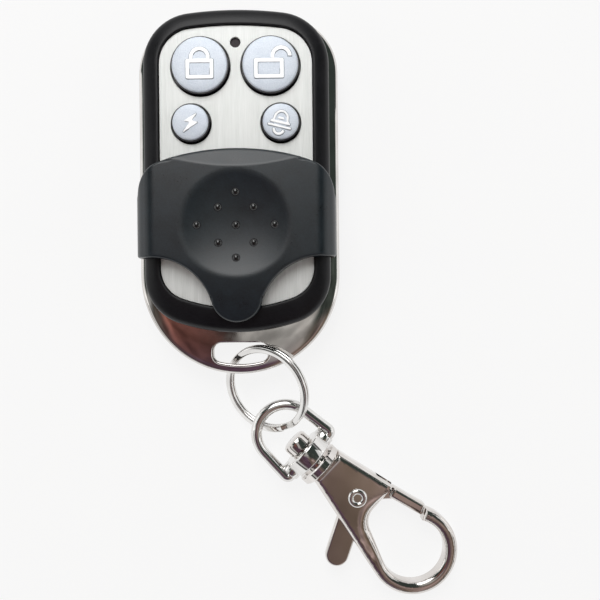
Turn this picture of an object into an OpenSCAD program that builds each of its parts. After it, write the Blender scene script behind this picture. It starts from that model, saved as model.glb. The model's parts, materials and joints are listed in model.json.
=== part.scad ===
// Four-button alarm key fob with a slide cover, a split key ring and a swivel clasp.
// Millimetres. Origin at the middle of the flat back, +Y to the button end, +Z to the front.

/* [Case] */
// Width of the black front shell
case_w = 28.8; // [27:0.2:34]
// Length of the black front shell
case_l = 50; // [48:0.5:58]
// Radius of the shell's upper end
case_top_r = 58; // [40:1:90]
// Radius of the shell's upper corners
case_top_corner = 8; // [6:0.5:10]
// Radius of the shell's lower end
case_bottom_r = 29; // [24:1:60]
// Radius of the shell's lower corners
case_bottom_corner = 7.5; // [6:0.5:9]
// Wall of the front shell
shell_wall = 1.6; // [1.4:0.1:1.8]
// Height of the front shell above the metal frame
shell_h = 5.3; // [5.2:0.1:7]
// Radius of the shell's rounded rim
rim_r = 1.2; // [0.8:0.1:1.4]
// Thickness of the deck that carries the face plate
deck_t = 1; // [0.8:0.1:1.2]
// Height of the rear cover
rear_h = 3.4; // [3.2:0.1:4.5]
// Wall of the rear cover
rear_wall = 1.4; // [1:0.1:1.8]
// Thickness of the rear cover's floor
floor_t = 1; // [0.8:0.1:1.2]
// Radius of the rear cover's lower edge
rear_round = 1.4; // [0.8:0.1:2]

/* [Metal frame] */
// Height of the frame round the case
frame_h = 2.6; // [2.4:0.1:3.4]
// Width of the ledge that shows beside the shell
ledge_w = 1.6; // [1.4:0.1:2.4]
// Reach of the frame past the shell's upper end
top_ledge = 1.1; // [0.8:0.1:1.6]
// Step from the frame's edge in to the rear cover
rear_step = 0.6; // [0.4:0.1:0.8]
// Reach of the tongue past the shell's lower end
tongue_l = 6.9; // [6.6:0.1:9]
// Thickness of the tongue
tongue_t = 1.6; // [1.4:0.1:1.8]
// Width of the bar between the key slot and the tongue's edge
bar_w = 1.6; // [1.6:0.1:2]
// Width of the key slot
slot_w = 8.6; // [8:0.2:11]

/* [Face plate and keys] */
// Thickness of the brushed face plate
plate_t = 0.5; // [0.4:0.1:0.6]
// Depth of the face plate below the rim
plate_drop = 0.5; // [0.3:0.1:0.7]
// Width of the rim beside the face plate
plate_side_rim = 2.6; // [2.4:0.1:3.2]
// Width of the rim above the face plate
plate_top_rim = 2.7; // [2.4:0.1:3.2]
// Width of the rim below the face plate
plate_bottom_rim = 3.8; // [3.4:0.1:4.6]
// Diameter of the two upper keys
big_key_d = 8.8; // [8:0.1:9]
// Diameter of the two lower keys
small_key_d = 5.8; // [5:0.1:6.4]
// Sideways place of the upper keys
big_key_x = 5.4; // [5.3:0.1:5.8]
// Distance of the upper keys from the shell's upper end
big_key_in = 9; // [8.6:0.1:9.4]
// Sideways place of the lower keys
small_key_x = 6.9; // [6.4:0.1:7.2]
// Distance of the lower keys from the shell's upper end
small_key_in = 17.8; // [17.6:0.1:19]
// Height of the keys above the face plate
key_proud = 1.3; // [1:0.1:1.6]
// Thickness of the silver key caps
cap_t = 0.4; // [0.3:0.1:0.6]
// Travel of the keys
key_travel = 0.3; // [0.2:0.05:0.35]
// Distance of the lamp from the shell's upper end
lamp_in = 5.3; // [4.8:0.1:5.6]
// Diameter of the lamp's window
lamp_d = 1.6; // [1.2:0.1:2]

/* [Slide cover] */
// Length of the slide cover with its tongue
cover_l = 26.4; // [25:0.2:28]
// Height of the tip of the cover's tongue above the shell's lower end
cover_tip_in = 1.65; // [1:0.05:3]
// Thickness of the cover's roof
roof_t = 1.6; // [1.5:0.1:2.2]
// Thickness of the cover's side skirts
skirt_t = 0.65; // [0.6:0.05:0.8]
// Radius between the roof and the skirts
cover_corner_r = 3; // [2.4:0.1:3.6]
// Radius of the cover's upper edge
cover_edge_r = 32; // [26:1:50]
// Radius of the corners of the upper edge
cover_edge_corner = 4; // [2:0.5:6]
// Radius of the two cuts beside the tongue
cut_r = 8; // [7:0.1:8.4]
// Sideways place of the two cuts
cut_x = 12.2; // [12:0.1:12.8]
// Distance from the tongue's tip up to the cuts' upper side
cut_top_in = 9.9; // [9:0.1:11]
// Radius of the thumb dish
dish_r = 8.2; // [6:0.1:9]
// Depth of the thumb dish
dish_depth = 0.9; // [0.5:0.1:1]
// Distance from the cover's upper edge to the dish
dish_in = 11.7; // [11:0.1:13]
// Diameter of the grip bumps
bump_d = 1.1; // [0.8:0.1:1.4]
// Travel of the cover
cover_travel = 18; // [16:0.5:18.5]

/* [Inside] */
// Diameter of the battery
battery_d = 7.9; // [7:0.1:8]
// Length of the battery
battery_l = 28; // [26:0.5:28.5]
// Thickness of the circuit board
board_t = 1; // [0.8:0.1:1.2]
// Height of the posts that carry the board
post_h = 1.6; // [1.2:0.1:1.8]
// Side of the square key switches
switch_w = 4.5; // [4:0.1:5]
// Height of the key switches
switch_h = 3.4; // [3:0.1:3.5]
// Diameter of the case screws
screw_d = 1.6; // [1.4:0.1:1.8]

/* [Key ring and clasp] */
// Outer diameter of the key ring
ring_d = 14.95; // [14:0.1:17]
// Width of the ring's flat wire
ring_wire_w = 1.15; // [1:0.05:1.3]
// Thickness of one of the ring's two turns
ring_wire_t = 0.64; // [0.5:0.02:0.7]
// Diameter of the swivel eye's wire
eye_wire_d = 1.8; // [1.6:0.1:2]
// Outer width of the swivel eye's round end
eye_w = 11.2; // [10.6:0.2:13]
// Length of the swivel eye
eye_l = 11.8; // [11.4:0.1:13]
// Diameter of the swivel collar
collar_d = 7.6; // [7:0.1:8]
// Length of the swivel collar
collar_l = 2.6; // [2:0.1:3]
// Thickness of the clasp body
clasp_t = 3.6; // [3.4:0.1:3.8]
// Length of the clasp from the swivel to the hook's end
clasp_l = 29.3; // [29:0.1:32]
// Outer radius of the clasp's hook
hook_r = 7.3; // [7:0.1:7.6]
// Width of the hook's limb
hook_limb = 2.1; // [1.8:0.1:2.4]
// Thickness of the clasp's lever
lever_t = 1.4; // [1.2:0.1:1.5]
// Diameter of the lever's rivet
rivet_d = 1.6; // [1.4:0.1:1.8]

/* [Hidden] */
$fn = 48;

// Clearances
fit_gap = 0.1;
slide_gap = 0.15;
skirt_gap = 0.2;
hole_gap = 0.25;
cover_gap = 0.3;
ring_gap = 0.4;
cut_over = 1;
slice_t = 0.01;

// Steps of the drawn arcs
corner_steps = 8;
end_steps = 14;
hook_steps = 36;
round_steps = 4;

// Heights from the flat back
frame_z = rear_h;
shell_z = frame_z + frame_h;
shell_top = shell_z + shell_h;
plate_top = shell_top - plate_drop;
deck_top = plate_top - plate_t;
deck_z = deck_top - deck_t;
cap_top = plate_top + key_proud;
roof_z = cap_top + cover_gap;
cover_top = roof_z + roof_t;
tongue_z = shell_z - tongue_t;
tongue_mid = shell_z - tongue_t / 2;
board_z = floor_t + post_h;
board_top = board_z + board_t;
switch_top = board_top + switch_h;
plunger_h = 0.8;
plunger_top = switch_top + plunger_h;

// Plan of the case
case_top = case_l / 2;
case_bottom = -case_l / 2;
half_w = case_w / 2;
frame_half = half_w + ledge_w;
frame_bottom = case_bottom - tongue_l;
rear_half = frame_half - rear_step;
rear_reach = 0.9;
frame_inside = shell_wall - hole_gap;

// Keys, each with its place and size
big_y = case_top - big_key_in;
small_y = case_top - small_key_in;
lamp_y = case_top - lamp_in;
LOCK = [-big_key_x, big_y, big_key_d];
UNLOCK = [big_key_x, big_y, big_key_d];
FLASH = [-small_key_x, small_y, small_key_d];
BELL = [small_key_x, small_y, small_key_d];
KEYS = [LOCK, UNLOCK, FLASH, BELL];
flange_w = 0.6;
flange_t = 0.8;
stem_d = 2.4;
plunger_d = 2;
plunger_sunk = 0.6;

// Screws and their bosses
boss_wall = 0.8;
post_wall = 1.7;
boss_r = screw_d / 2 + boss_wall;
post_r = screw_d / 2 + post_wall;
boss_room = 0.3;
lower_boss_in = 6.5;
upper_boss = [half_w - shell_wall - boss_r - boss_room, (big_y + small_y) / 2];
lower_boss = [half_w - shell_wall - boss_r - boss_room - boss_wall, case_bottom + lower_boss_in];
BOSSES = [upper_boss, [-upper_boss[0], upper_boss[1]], lower_boss, [-lower_boss[0], lower_boss[1]]];
screw_head_r = screw_d / 2 + boss_wall;
screw_head_h = 0.8;
screw_sunk = 0.4;
screw_short = 1.2;
screw_end = deck_z - screw_short;

// Battery and its contacts
battery_gap = 0.15;
battery_z = floor_t + battery_gap + battery_d / 2;
contact_t = 0.4;
leaf_t = 0.3;
leaf_bow = 1.6;
leaf_w = 6;
end_wall_r = case_bottom_r - shell_wall;
end_wall_sag = end_wall_r - sqrt(end_wall_r * end_wall_r - leaf_w * leaf_w / 4);
leaf_y = case_bottom + shell_wall + end_wall_sag + fit_gap;
battery_y = leaf_y + leaf_t + leaf_bow;
nub_l = 0.8;
battery_end = battery_y + battery_l;
board_slot_w = battery_d + 1;
board_slot_end = battery_end + contact_t + 2 * fit_gap;

// Slide cover
cover_half = half_w + skirt_gap + skirt_t;
skirt_z = shell_z + slide_gap;
tip_y = case_bottom + cover_tip_in;
cover_edge = tip_y + cover_l;
cut_y = tip_y + cut_top_in - cut_r;
tip_r = tip_from_cut(cut_x, cut_r, cut_y - tip_y);
skirt_end = cut_y + cut_r;
lip_reach = 0.5;
lip_h = 0.8;
lip_top = cover_edge - cover_edge_corner - 2.4;
rebate_depth = lip_reach + slide_gap;
rebate_h = slide_gap + lip_h + hole_gap;
dish_y = cover_edge - dish_in;
dish_sphere_r = (dish_r * dish_r + dish_depth * dish_depth) / (2 * dish_depth);
scoop_in = 2.8;
scoop_r = 36;
scoop_slope = 20;
nose_r = 60;
bump_proud = 0.3;
bump_x = [5.9, 2.7];
bump_y = [5, 2.7];
BUMPS = [[0, 0], [bump_x[0], 0], [-bump_x[0], 0], [0, bump_y[0]], [0, -bump_y[0]],
    for (i = [-1, 1], j = [-1, 1]) [i * bump_x[1], j * bump_y[1]]];

// Key ring: it leans in the slot, low on the left and high on the right
ring_lean = 33;
ring_turn = 122;
ring_r = (ring_d - ring_wire_w) / 2;
ring_h = 2 * ring_wire_t;
ring_body = norm([ring_wire_w, ring_h]) - 0.2;
slot_slant = atan2(-cos(ring_turn), tan(ring_lean));
slot_h = (ring_body + tongue_t + 2 * ring_gap) / cos(slot_slant) - tongue_t;
slot_y = frame_bottom + bar_w + slot_h / 2;
slot_corner = 1.2;
slot_cross = [0.4, slot_y];
ring_c = slot_cross - ring_r * [cos(ring_turn), sin(ring_turn)];
ring_z = tongue_mid - 0.3;
wire_round = 0.24;
wire_bite = 0.02;
notch_w = 0.3;
notch_turn = [196, 214];

// Swivel eye and clasp: along their own axis, from the swivel to the hook
chain_turn = -56.8;
chain_overlap = 4.1;
clasp_turn = -43.5;
clasp_dip = 4;
eye_r = (eye_w - eye_wire_d) / 2;
eye_base = -0.3;
eye_base_u = eye_base - eye_wire_d / 2;
eye_arc_u = eye_base - eye_l + eye_w / 2;
eye_splay = 5;
eye_reach = eye_r - eye_arc_u;
swivel_c = ring_c + (ring_r + eye_reach - chain_overlap) * [cos(chain_turn), sin(chain_turn)];
swivel_z = 3.95;
stud_d = 2.6;
stud_head_d = 4.3;
stud_head_h = 1.9;
stud_gap = 0.15;
flange_d = 7;
flange_l = 1.9;
flange_u = eye_base + slide_gap;
neck_u = flange_u + flange_l;
neck_left = -2.4;
neck_right = 3.4;
edge_round = 0.7;
hook_t = 3;
limb_round = 0.8;
cheek_end = 18;
hook_u = clasp_l - hook_r;
hole_r = hook_r - hook_limb;
throat_u = 15.6;
throat_r = 3.2;
throat_v = 0.7;
rivet_u = 9;
rivet_v = 0.3;
rivet_head_d = rivet_d + 1.5;
rivet_head_h = 0.35;
lever_gap = 0.15;
lever_slot = lever_t + 2 * lever_gap;
lever_open = 28;
gate_tip = [17.5, 5.75];
gate_heel = [13.5, 4.85];
gate_w = 1.9;
tab_end = [13, -8.3];
tab_w = 3.6;
hub_r = 2.3;
gate_gap = 0.3;
spring_wire = 0.4;
spring_r = rivet_d / 2 + 0.45;
spring_room = 0.15;

// Radius of the tongue's round tip, tangent to the two cuts
function tip_from_cut(x, r, rise) =
    (x * x + rise * rise - r * r) / (2 * (r + rise));

// Points of one arc; a turn of nothing gives one point
function arc(c, r, from, to, steps) =
    abs(to - from) < 0.01
        ? [c + r * [cos(from), sin(from)]]
        : [for (i = [0:steps]) c + r * [cos(from + (to - from) * i / steps),
            sin(from + (to - from) * i / steps)]];

// The same arc without its two ends
function arc_inside(c, r, from, to, steps) =
    [for (i = [1:steps - 1]) c + r * [cos(from + (to - from) * i / steps),
        sin(from + (to - from) * i / steps)]];

// Outline with straight sides, curved ends and round corners: an end is [y, radius, corner]
function pill(w, top, bottom, inset = 0) =
    let (
        top_x = w - top[2],
        top_rise = sqrt(max(0, pow(top[1] - top[2], 2) - top_x * top_x)),
        top_c = top[0] - top[1],
        top_a = atan2(top_rise, top_x),
        low_x = w - bottom[2],
        low_rise = sqrt(max(0, pow(bottom[1] - bottom[2], 2) - low_x * low_x)),
        low_c = bottom[0] + bottom[1],
        low_a = low_rise < 0.001 ? 0 : atan2(low_rise, low_x)
    )
    concat(
        arc([top_x, top_c + top_rise], top[2] - inset, 0, top_a, corner_steps),
        arc_inside([0, top_c], top[1] - inset, top_a, 180 - top_a, end_steps),
        arc([-top_x, top_c + top_rise], top[2] - inset, 180 - top_a, 180, corner_steps),
        arc([-low_x, low_c - low_rise], bottom[2] - inset, 180, 180 + low_a, corner_steps),
        arc_inside([0, low_c], bottom[1] - inset, 180 + low_a, 360 - low_a, 2 * end_steps),
        arc([low_x, low_c - low_rise], bottom[2] - inset, 360 - low_a, 360, corner_steps)
    );

// The outlines of the case and its frame
case_line = function (inset)
    pill(half_w, [case_top, case_top_r, case_top_corner],
        [case_bottom, case_bottom_r, case_bottom_corner], inset);
frame_line = function (inset)
    pill(frame_half, [case_top + top_ledge, case_top_r, case_top_corner + top_ledge],
        [frame_bottom, frame_half, frame_half], inset);
rear_line = function (inset)
    pill(rear_half, [case_top + top_ledge - rear_step, case_top_r, case_top_corner + top_ledge - rear_step],
        [case_bottom - rear_reach, case_bottom_r, case_bottom_corner + ledge_w - rear_step], inset);
slot_line = function (inset)
    pill(slot_w / 2, [slot_y + slot_h / 2, 20 * slot_w, slot_corner],
        [slot_y - slot_h / 2, frame_half - bar_w, slot_corner], inset);
plate_line = function (inset)
    pill(half_w - plate_side_rim,
        [case_top - plate_top_rim, case_top_r - plate_top_rim, case_top_corner - plate_side_rim],
        [case_bottom + plate_bottom_rim, case_bottom_r - plate_bottom_rim,
            case_bottom_corner - plate_side_rim], inset);

// A quarter round as [height, inset] pairs, from the wall up to the face
function round_up(z, r) =
    [for (i = [0:round_steps]) let (a = 90 * i / round_steps) [z + r * sin(a) - r, r - r * cos(a)]];
function round_down(z, r) =
    [for (i = [0:round_steps]) let (a = 90 * i / round_steps) [z + r - r * sin(a), r - r * cos(a)]];

module slab(line, z, h, inset = 0) {
    translate([0, 0, z]) linear_extrude(h) polygon(line(inset));
}

// A solid skinned over the outline at several heights
module skin(line, levels) {
    low = min([for (level = levels) level[0]]);
    high = max([for (level = levels) level[0]]) - slice_t;
    hull() for (level = levels) slab(line, max(low, min(high, level[0] - slice_t / 2)), slice_t, level[1]);
}

module along_u(u, l, d) {
    translate([u, 0, 0]) rotate([0, 90, 0]) cylinder(h = l, d = d);
}

// Case

module front_shell() {
    color("#2b2b2f") difference() {
        union() {
            difference() {
                union() {
                    slab(case_line, shell_z, shell_h - rim_r);
                    skin(case_line, round_up(shell_top, rim_r));
                }
                slab(case_line, shell_z - cut_over, deck_z - shell_z + cut_over, shell_wall);
            }
            for (b = BOSSES) translate([b[0], b[1], board_top])
                cylinder(h = deck_z - board_top + fit_gap, r = boss_r);
        }
        slab(plate_line, deck_top, shell_h, -fit_gap);
        skin(plate_line, [[plate_top, -fit_gap - slice_t], [shell_top + slice_t, -plate_side_rim / 3]]);
        for (k = KEYS) translate([k[0], k[1], shell_z])
            cylinder(h = shell_h, d = k[2] + 2 * hole_gap);
        translate([0, lamp_y, shell_z]) cylinder(h = shell_h, d = lamp_d);
        for (b = BOSSES) translate([b[0], b[1], board_top - cut_over])
            cylinder(h = screw_end + hole_gap - board_top + cut_over, d = screw_d + fit_gap);
        for (side = [-1, 1]) slide_rebate(side);
    }
}

// Groove along the shell's foot that holds the cover's lip
module slide_rebate(side) {
    from = skirt_end - hole_gap;
    to = lip_top + cover_travel + hole_gap;
    mid_x = side * (half_w + cut_over / 2 - rebate_depth / 2);
    translate([mid_x - (rebate_depth + cut_over) / 2, from, shell_z - cut_over])
        cube([rebate_depth + cut_over, to - from, rebate_h + cut_over]);
}

module face_plate() {
    color("#dcdedd") difference() {
        slab(plate_line, deck_top, plate_t);
        for (k = KEYS) translate([k[0], k[1], deck_top - cut_over])
            cylinder(h = plate_t + 2 * cut_over, d = k[2] + 2 * hole_gap);
        translate([0, lamp_y, deck_top - cut_over]) cylinder(h = plate_t + 2 * cut_over, d = lamp_d);
    }
}

// A plate with a round edge and a tongue, over a band that stands on the rear cover
module chrome_frame() {
    edge = tongue_t / 2;
    color("#a9a7a3") difference() {
        union() {
            slab(rear_line, frame_z, tongue_mid - frame_z);
            skin(frame_line, concat(round_down(tongue_z, edge), round_up(shell_z, edge)));
        }
        slab(case_line, frame_z - cut_over, frame_h + 2 * cut_over, frame_inside);
        slab(slot_line, tongue_mid - edge / 2, edge);
        for (side = [-1, 1]) slot_flare(side, edge);
    }
}

// Round edge of the key slot on one face of the tongue, cut as two flares
module slot_flare(side, edge) {
    turn = 45;
    mid_h = edge * sin(turn);
    mid_w = edge * (1 - cos(turn));
    slope = (edge - mid_w) / (edge - mid_h);
    skin(slot_line, [[tongue_mid, 0], [tongue_mid + side * mid_h, -mid_w]]);
    skin(slot_line, [[tongue_mid + side * (mid_h - fit_gap), fit_gap * slope - mid_w],
        [tongue_mid + side * (edge + slice_t), -edge - slice_t * slope]]);
}

module rear_cover() {
    color("#26262a") difference() {
        union() {
            difference() {
                union() {
                    skin(rear_line, round_down(0, rear_round));
                    slab(rear_line, rear_round, rear_h - rear_round);
                }
                slab(rear_line, floor_t, rear_h, rear_wall);
            }
            for (b = BOSSES) translate([b[0], b[1], floor_t - fit_gap])
                cylinder(h = post_h + fit_gap, r = post_r);
            for (y = [battery_y + battery_l / 4, battery_y + 3 * battery_l / 4]) battery_cradle(y);
        }
        for (b = BOSSES) translate([b[0], b[1], 0]) {
            translate([0, 0, -cut_over]) cylinder(h = board_top, d = screw_d + 2 * hole_gap);
            translate([0, 0, -cut_over])
                cylinder(h = cut_over + screw_sunk + screw_head_h, r = screw_head_r + fit_gap);
        }
    }
}

// Rib across the floor with a round seat for the cell
module battery_cradle(y) {
    rib_t = 1;
    difference() {
        translate([-battery_d / 2, y - rib_t / 2, floor_t / 2])
            cube([battery_d, rib_t, post_h + floor_t / 2]);
        translate([0, y - rib_t, battery_z]) rotate([-90, 0, 0])
            cylinder(h = 2 * rib_t, d = battery_d + 2 * (battery_gap + fit_gap));
    }
}

module case_screws() {
    cross_w = 0.4;
    color("#8f9193") for (b = BOSSES) translate([b[0], b[1], screw_sunk]) difference() {
        union() {
            cylinder(h = screw_head_h, r = screw_head_r);
            cylinder(h = screw_end - screw_sunk, d = screw_d);
        }
        for (turn = [0, 90]) rotate([0, 0, turn])
            translate([-screw_head_r / 2, -cross_w / 2, -cut_over])
                cube([screw_head_r, cross_w, cut_over + screw_head_h / 2]);
    }
}

// Electronics

module circuit_board() {
    edge = shell_wall + 0.6;
    color("#1f5b3a") difference() {
        slab(case_line, board_z, board_t, edge);
        translate([-board_slot_w / 2, case_bottom, board_z - cut_over])
            cube([board_slot_w, board_slot_end - case_bottom, board_t + 2 * cut_over]);
        for (b = BOSSES) translate([b[0], b[1], board_z - cut_over])
            cylinder(h = board_t + 2 * cut_over, d = screw_d + 2 * hole_gap);
    }
}

module switch_bodies() {
    lid_t = 0.3;
    stud_r = 0.4;
    color("#3a3b3d") for (k = KEYS) translate([k[0], k[1], board_top]) difference() {
        union() {
            translate([-switch_w / 2, -switch_w / 2, 0]) cube([switch_w, switch_w, switch_h - lid_t]);
            for (x = [-1, 1], y = [-1, 1]) translate([x * switch_w / 3, y * switch_w / 3, 0])
                cylinder(h = switch_h, r = stud_r);
            cylinder(h = switch_h, d = plunger_d + 4 * hole_gap);
        }
        translate([0, 0, switch_h - plunger_sunk - key_travel - fit_gap])
            cylinder(h = switch_h, d = plunger_d + 2 * hole_gap);
    }
}

module indicator_led() {
    base_h = 0.9;
    lamp_r = 1.5;
    led_top = deck_z - pipe_flange_t - fit_gap;
    color("#b3392f") translate([0, lamp_y, board_top]) {
        cylinder(h = base_h, r = lamp_r + 0.4);
        cylinder(h = led_top - lamp_r - board_top, r = lamp_r);
        translate([0, 0, led_top - lamp_r - board_top]) sphere(r = lamp_r);
    }
}

pipe_flange_t = 0.4;

module light_pipe() {
    pipe_r = lamp_d / 2 - fit_gap;
    color("#4a3436") translate([0, lamp_y, deck_z - pipe_flange_t]) {
        cylinder(h = pipe_flange_t, r = pipe_r + 0.6);
        cylinder(h = pipe_flange_t + deck_t, r = pipe_r);
    }
}

module encoder_chip() {
    body = [3.9, 4.9, 1.4];
    foot = [0.9, 0.4, 0.2];
    pitch = 1.27;
    color("#2a2a2c") translate([board_slot_w / 2 + 1.2 + body[0] / 2, -4, board_top]) {
        translate([-body[0] / 2, -body[1] / 2, foot[2]]) cube(body);
        for (side = [0, 180], i = [-1.5:1:1.5]) rotate([0, 0, side])
            translate([body[0] / 2 - 0.1, i * pitch - foot[1] / 2, 0]) {
                cube(foot);
                cube([foot[1], foot[1], body[2] / 2]);
            }
    }
}

module resonator() {
    can = [3.4, 8.5, 3];
    rim = 0.35;
    base_t = 0.4;
    color("#b9bbbc") translate([-board_slot_w / 2 - 1.4 - can[0] / 2, -4, board_top]) {
        for (step = [[rim, base_t], [0, can[2]]]) {
            r = can[0] / 2 + step[0];
            for (y = [-1, 1]) translate([0, y * (can[1] - can[0]) / 2, 0]) cylinder(h = step[1], r = r);
            translate([-r, -(can[1] - can[0]) / 2, 0]) cube([2 * r, can[1] - can[0], step[1]]);
        }
    }
}

module battery() {
    nub_d = 3.2;
    color("#c8b25a") translate([0, battery_y, battery_z]) rotate([-90, 0, 0]) {
        cylinder(h = battery_l - nub_l, d = battery_d);
        cylinder(h = battery_l, d = nub_d);
    }
}

// Contact at the cell's nub: a plate in the board's slot with two solder feet
module battery_plate() {
    plate_w = 6;
    foot_l = 1.6;
    plate_y = battery_end + fit_gap;
    color("#cfc9b4") {
        translate([-plate_w / 2, plate_y, board_z]) cube([plate_w, contact_t, battery_z + 2.4 - board_z]);
        for (x = [-plate_w / 2, plate_w / 2 - foot_l])
            translate([x, plate_y, board_top]) cube([foot_l, foot_l + contact_t, contact_t]);
    }
}

// Contact at the cell's flat end: a plate on the end wall with a bowed leaf
module battery_spring() {
    plate_h = 5;
    chord = plate_h / 2;
    bow_r = (chord * chord + leaf_bow * leaf_bow) / (2 * leaf_bow);
    color("#cfc9b4") translate([0, leaf_y, battery_z]) {
        translate([-leaf_w / 2, 0, -plate_h / 2]) cube([leaf_w, leaf_t, plate_h]);
        intersection() {
            translate([-leaf_w / 4, leaf_t + leaf_bow - bow_r, 0]) rotate([0, 90, 0]) difference() {
                cylinder(h = leaf_w / 2, r = bow_r);
                translate([0, 0, -cut_over]) cylinder(h = leaf_w, r = bow_r - leaf_t);
            }
            translate([-leaf_w / 2, leaf_t / 2, -plate_h / 2]) cube([leaf_w, plate_h, plate_h]);
        }
    }
}

// Keys

module key_body(k) {
    flange_top = deck_z - fit_gap;
    color("#232326") translate([k[0], k[1], 0]) {
        translate([0, 0, flange_top - flange_t]) cylinder(h = flange_t, d = k[2] + 2 * flange_w);
        translate([0, 0, flange_top - flange_t])
            cylinder(h = cap_top - cap_t - flange_top + flange_t, d = k[2]);
        translate([0, 0, plunger_top]) cylinder(h = flange_top - plunger_top, d = stem_d);
    }
}

// Silver disc with a rounded edge on the key's top
module key_cap(k) {
    edge = cap_t / 2;
    r = k[2] / 2 - 0.15;
    color("#dde5ee") translate([k[0], k[1], cap_top - cap_t]) {
        cylinder(h = cap_t, r = r - edge);
        cylinder(h = cap_t - edge, r = r);
        translate([0, 0, cap_t - edge]) rotate_extrude() translate([r - edge, 0]) circle(r = edge);
    }
}

module key_plunger(k) {
    color("#c9c4b8") translate([k[0], k[1], switch_top - plunger_sunk])
        cylinder(h = plunger_sunk + plunger_h, d = plunger_d);
}

module lock_key() { key_body(LOCK); }
module lock_cap() { key_cap(LOCK); }
module lock_plunger() { key_plunger(LOCK); }
module unlock_key() { key_body(UNLOCK); }
module unlock_cap() { key_cap(UNLOCK); }
module unlock_plunger() { key_plunger(UNLOCK); }
module flash_key() { key_body(FLASH); }
module flash_cap() { key_cap(FLASH); }
module flash_plunger() { key_plunger(FLASH); }
module bell_key() { key_body(BELL); }
module bell_cap() { key_cap(BELL); }
module bell_plunger() { key_plunger(BELL); }

// Slide cover

// A bar of bridge section along Y: straight sides, a flat top and round shoulders
module bridge(w, z, top, r) {
    y = tip_y - cut_over;
    l = cover_l + 2 * cut_over;
    translate([-w, y, z]) cube([2 * w, l, top - r - z]);
    translate([r - w, y, z]) cube([2 * (w - r), l, top - z]);
    for (side = [-1, 1]) translate([side * (w - r), y, top - r]) rotate([-90, 0, 0]) cylinder(h = l, r = r);
}

// Plan of the cover: curved upper edge, two round cuts and a tongue with a round tip
module cover_plan() {
    h = cover_top;
    tip_c = tip_y + tip_r;
    translate([0, tip_c, 0]) cylinder(h = h, r = tip_r);
    difference() {
        linear_extrude(h) polygon(pill(cover_half, [cover_edge, cover_edge_r, cover_edge_corner],
            [tip_c, 20 * cover_half, 1]));
        for (side = [-1, 1]) {
            translate([side * cut_x, cut_y, -cut_over]) cylinder(h = h + 2 * cut_over, r = cut_r);
            translate([side * (cut_x + cut_r / 2) - cut_r / 2, tip_y, -cut_over])
                cube([cut_r, skirt_end - tip_y, h + 2 * cut_over]);
        }
        // Below the line from the tip to each cut, only the tip is left
        for (side = [-1, 1]) translate([side * (cut_x / 2 + tip_r) - cut_x / 2, tip_y - cut_over, -cut_over])
            cube([cut_x, tip_r * (1 + (cut_y - tip_c) / (cut_r + tip_r)) + cut_over, h + 2 * cut_over]);
    }
}

module slide_cover() {
    color("#2d3136") {
        difference() {
            union() {
                intersection() {
                    difference() {
                        bridge(cover_half, skirt_z, cover_top, cover_corner_r);
                        bridge(cover_half - skirt_t, skirt_z - cut_over, roof_z, cover_corner_r - 1);
                    }
                    cover_plan();
                }
                for (side = [-1, 1]) cover_lip(side);
            }
            translate([0, dish_y, cover_top - dish_depth + dish_sphere_r])
                sphere(r = dish_sphere_r, $fn = 96);
            thumb_scoop();
            nose_slope();
        }
        for (b = BUMPS) translate([b[0], dish_y + b[1], dish_height(norm(b)) + bump_proud - bump_d / 2])
            grip_bump();
    }
}

function dish_height(r) =
    cover_top - dish_depth + dish_sphere_r - sqrt(dish_sphere_r * dish_sphere_r - r * r);

module grip_bump() {
    sink = 0.3;
    sphere(d = bump_d, $fn = 24);
    translate([0, 0, -sink]) cylinder(h = sink, d = bump_d, $fn = 24);
}

// Lip on the foot of a skirt, hooked into the shell's groove
module cover_lip(side) {
    w = lip_reach + skirt_gap + skirt_t / 2;
    mid_x = side * (half_w - lip_reach + w / 2);
    translate([mid_x - w / 2, skirt_end, skirt_z]) cube([w, lip_top - skirt_end, lip_h]);
}

// Hollow that slopes down to the cover's upper edge
module thumb_scoop() {
    drop = scoop_r / tan(scoop_slope);
    translate([0, cover_edge - scoop_in + scoop_r, cover_top + drop])
        sphere(r = norm([scoop_r, drop]), $fn = 96);
}

// The tongue's top falls away in one round curve
module nose_slope() {
    start = cut_y + cut_r;
    difference() {
        translate([-cover_half, tip_y - cut_over, roof_z - cut_over])
            cube([2 * cover_half, start - tip_y + cut_over, roof_t + 2 * cut_over]);
        translate([-cover_half - cut_over, start, cover_top - nose_r]) rotate([0, 90, 0])
            cylinder(h = 2 * (cover_half + cut_over), r = nose_r, $fn = 96);
    }
}

// Key ring

module at_ring() {
    translate([ring_c[0], ring_c[1], ring_z]) rotate([0, 0, ring_turn]) rotate([-ring_lean, 0, 0]) children();
}

module wire_section() {
    r = wire_round;
    translate([-ring_wire_w / 2 + r, -ring_wire_t / 2]) square([ring_wire_w - 2 * r, ring_wire_t]);
    translate([-ring_wire_w / 2, -ring_wire_t / 2 + r]) square([ring_wire_w, ring_wire_t - 2 * r]);
    for (x = [-1, 1], y = [-1, 1]) translate([x * (ring_wire_w / 2 - r), y * (ring_wire_t / 2 - r)])
        circle(r = r);
}

// Two turns pressed together, each with the notch where the wire ends
module key_ring() {
    color("#c4c4c2") at_ring() for (i = [0, 1]) {
        z = (i * 2 - 1) * (ring_wire_t / 2 - wire_bite);
        difference() {
            translate([0, 0, z]) rotate_extrude() translate([ring_r, 0]) wire_section();
            rotate([0, 0, notch_turn[i]]) translate([ring_r - ring_wire_w, -notch_w / 2,
                i == 0 ? -ring_h : 2 * wire_bite]) cube([2 * ring_wire_w, notch_w, ring_h - 2 * wire_bite]);
        }
    }
}

// Swivel eye and clasp

module at_swivel() {
    translate([swivel_c[0], swivel_c[1], swivel_z]) rotate([0, 0, clasp_turn]) rotate([0, clasp_dip, 0])
        children();
}

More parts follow.
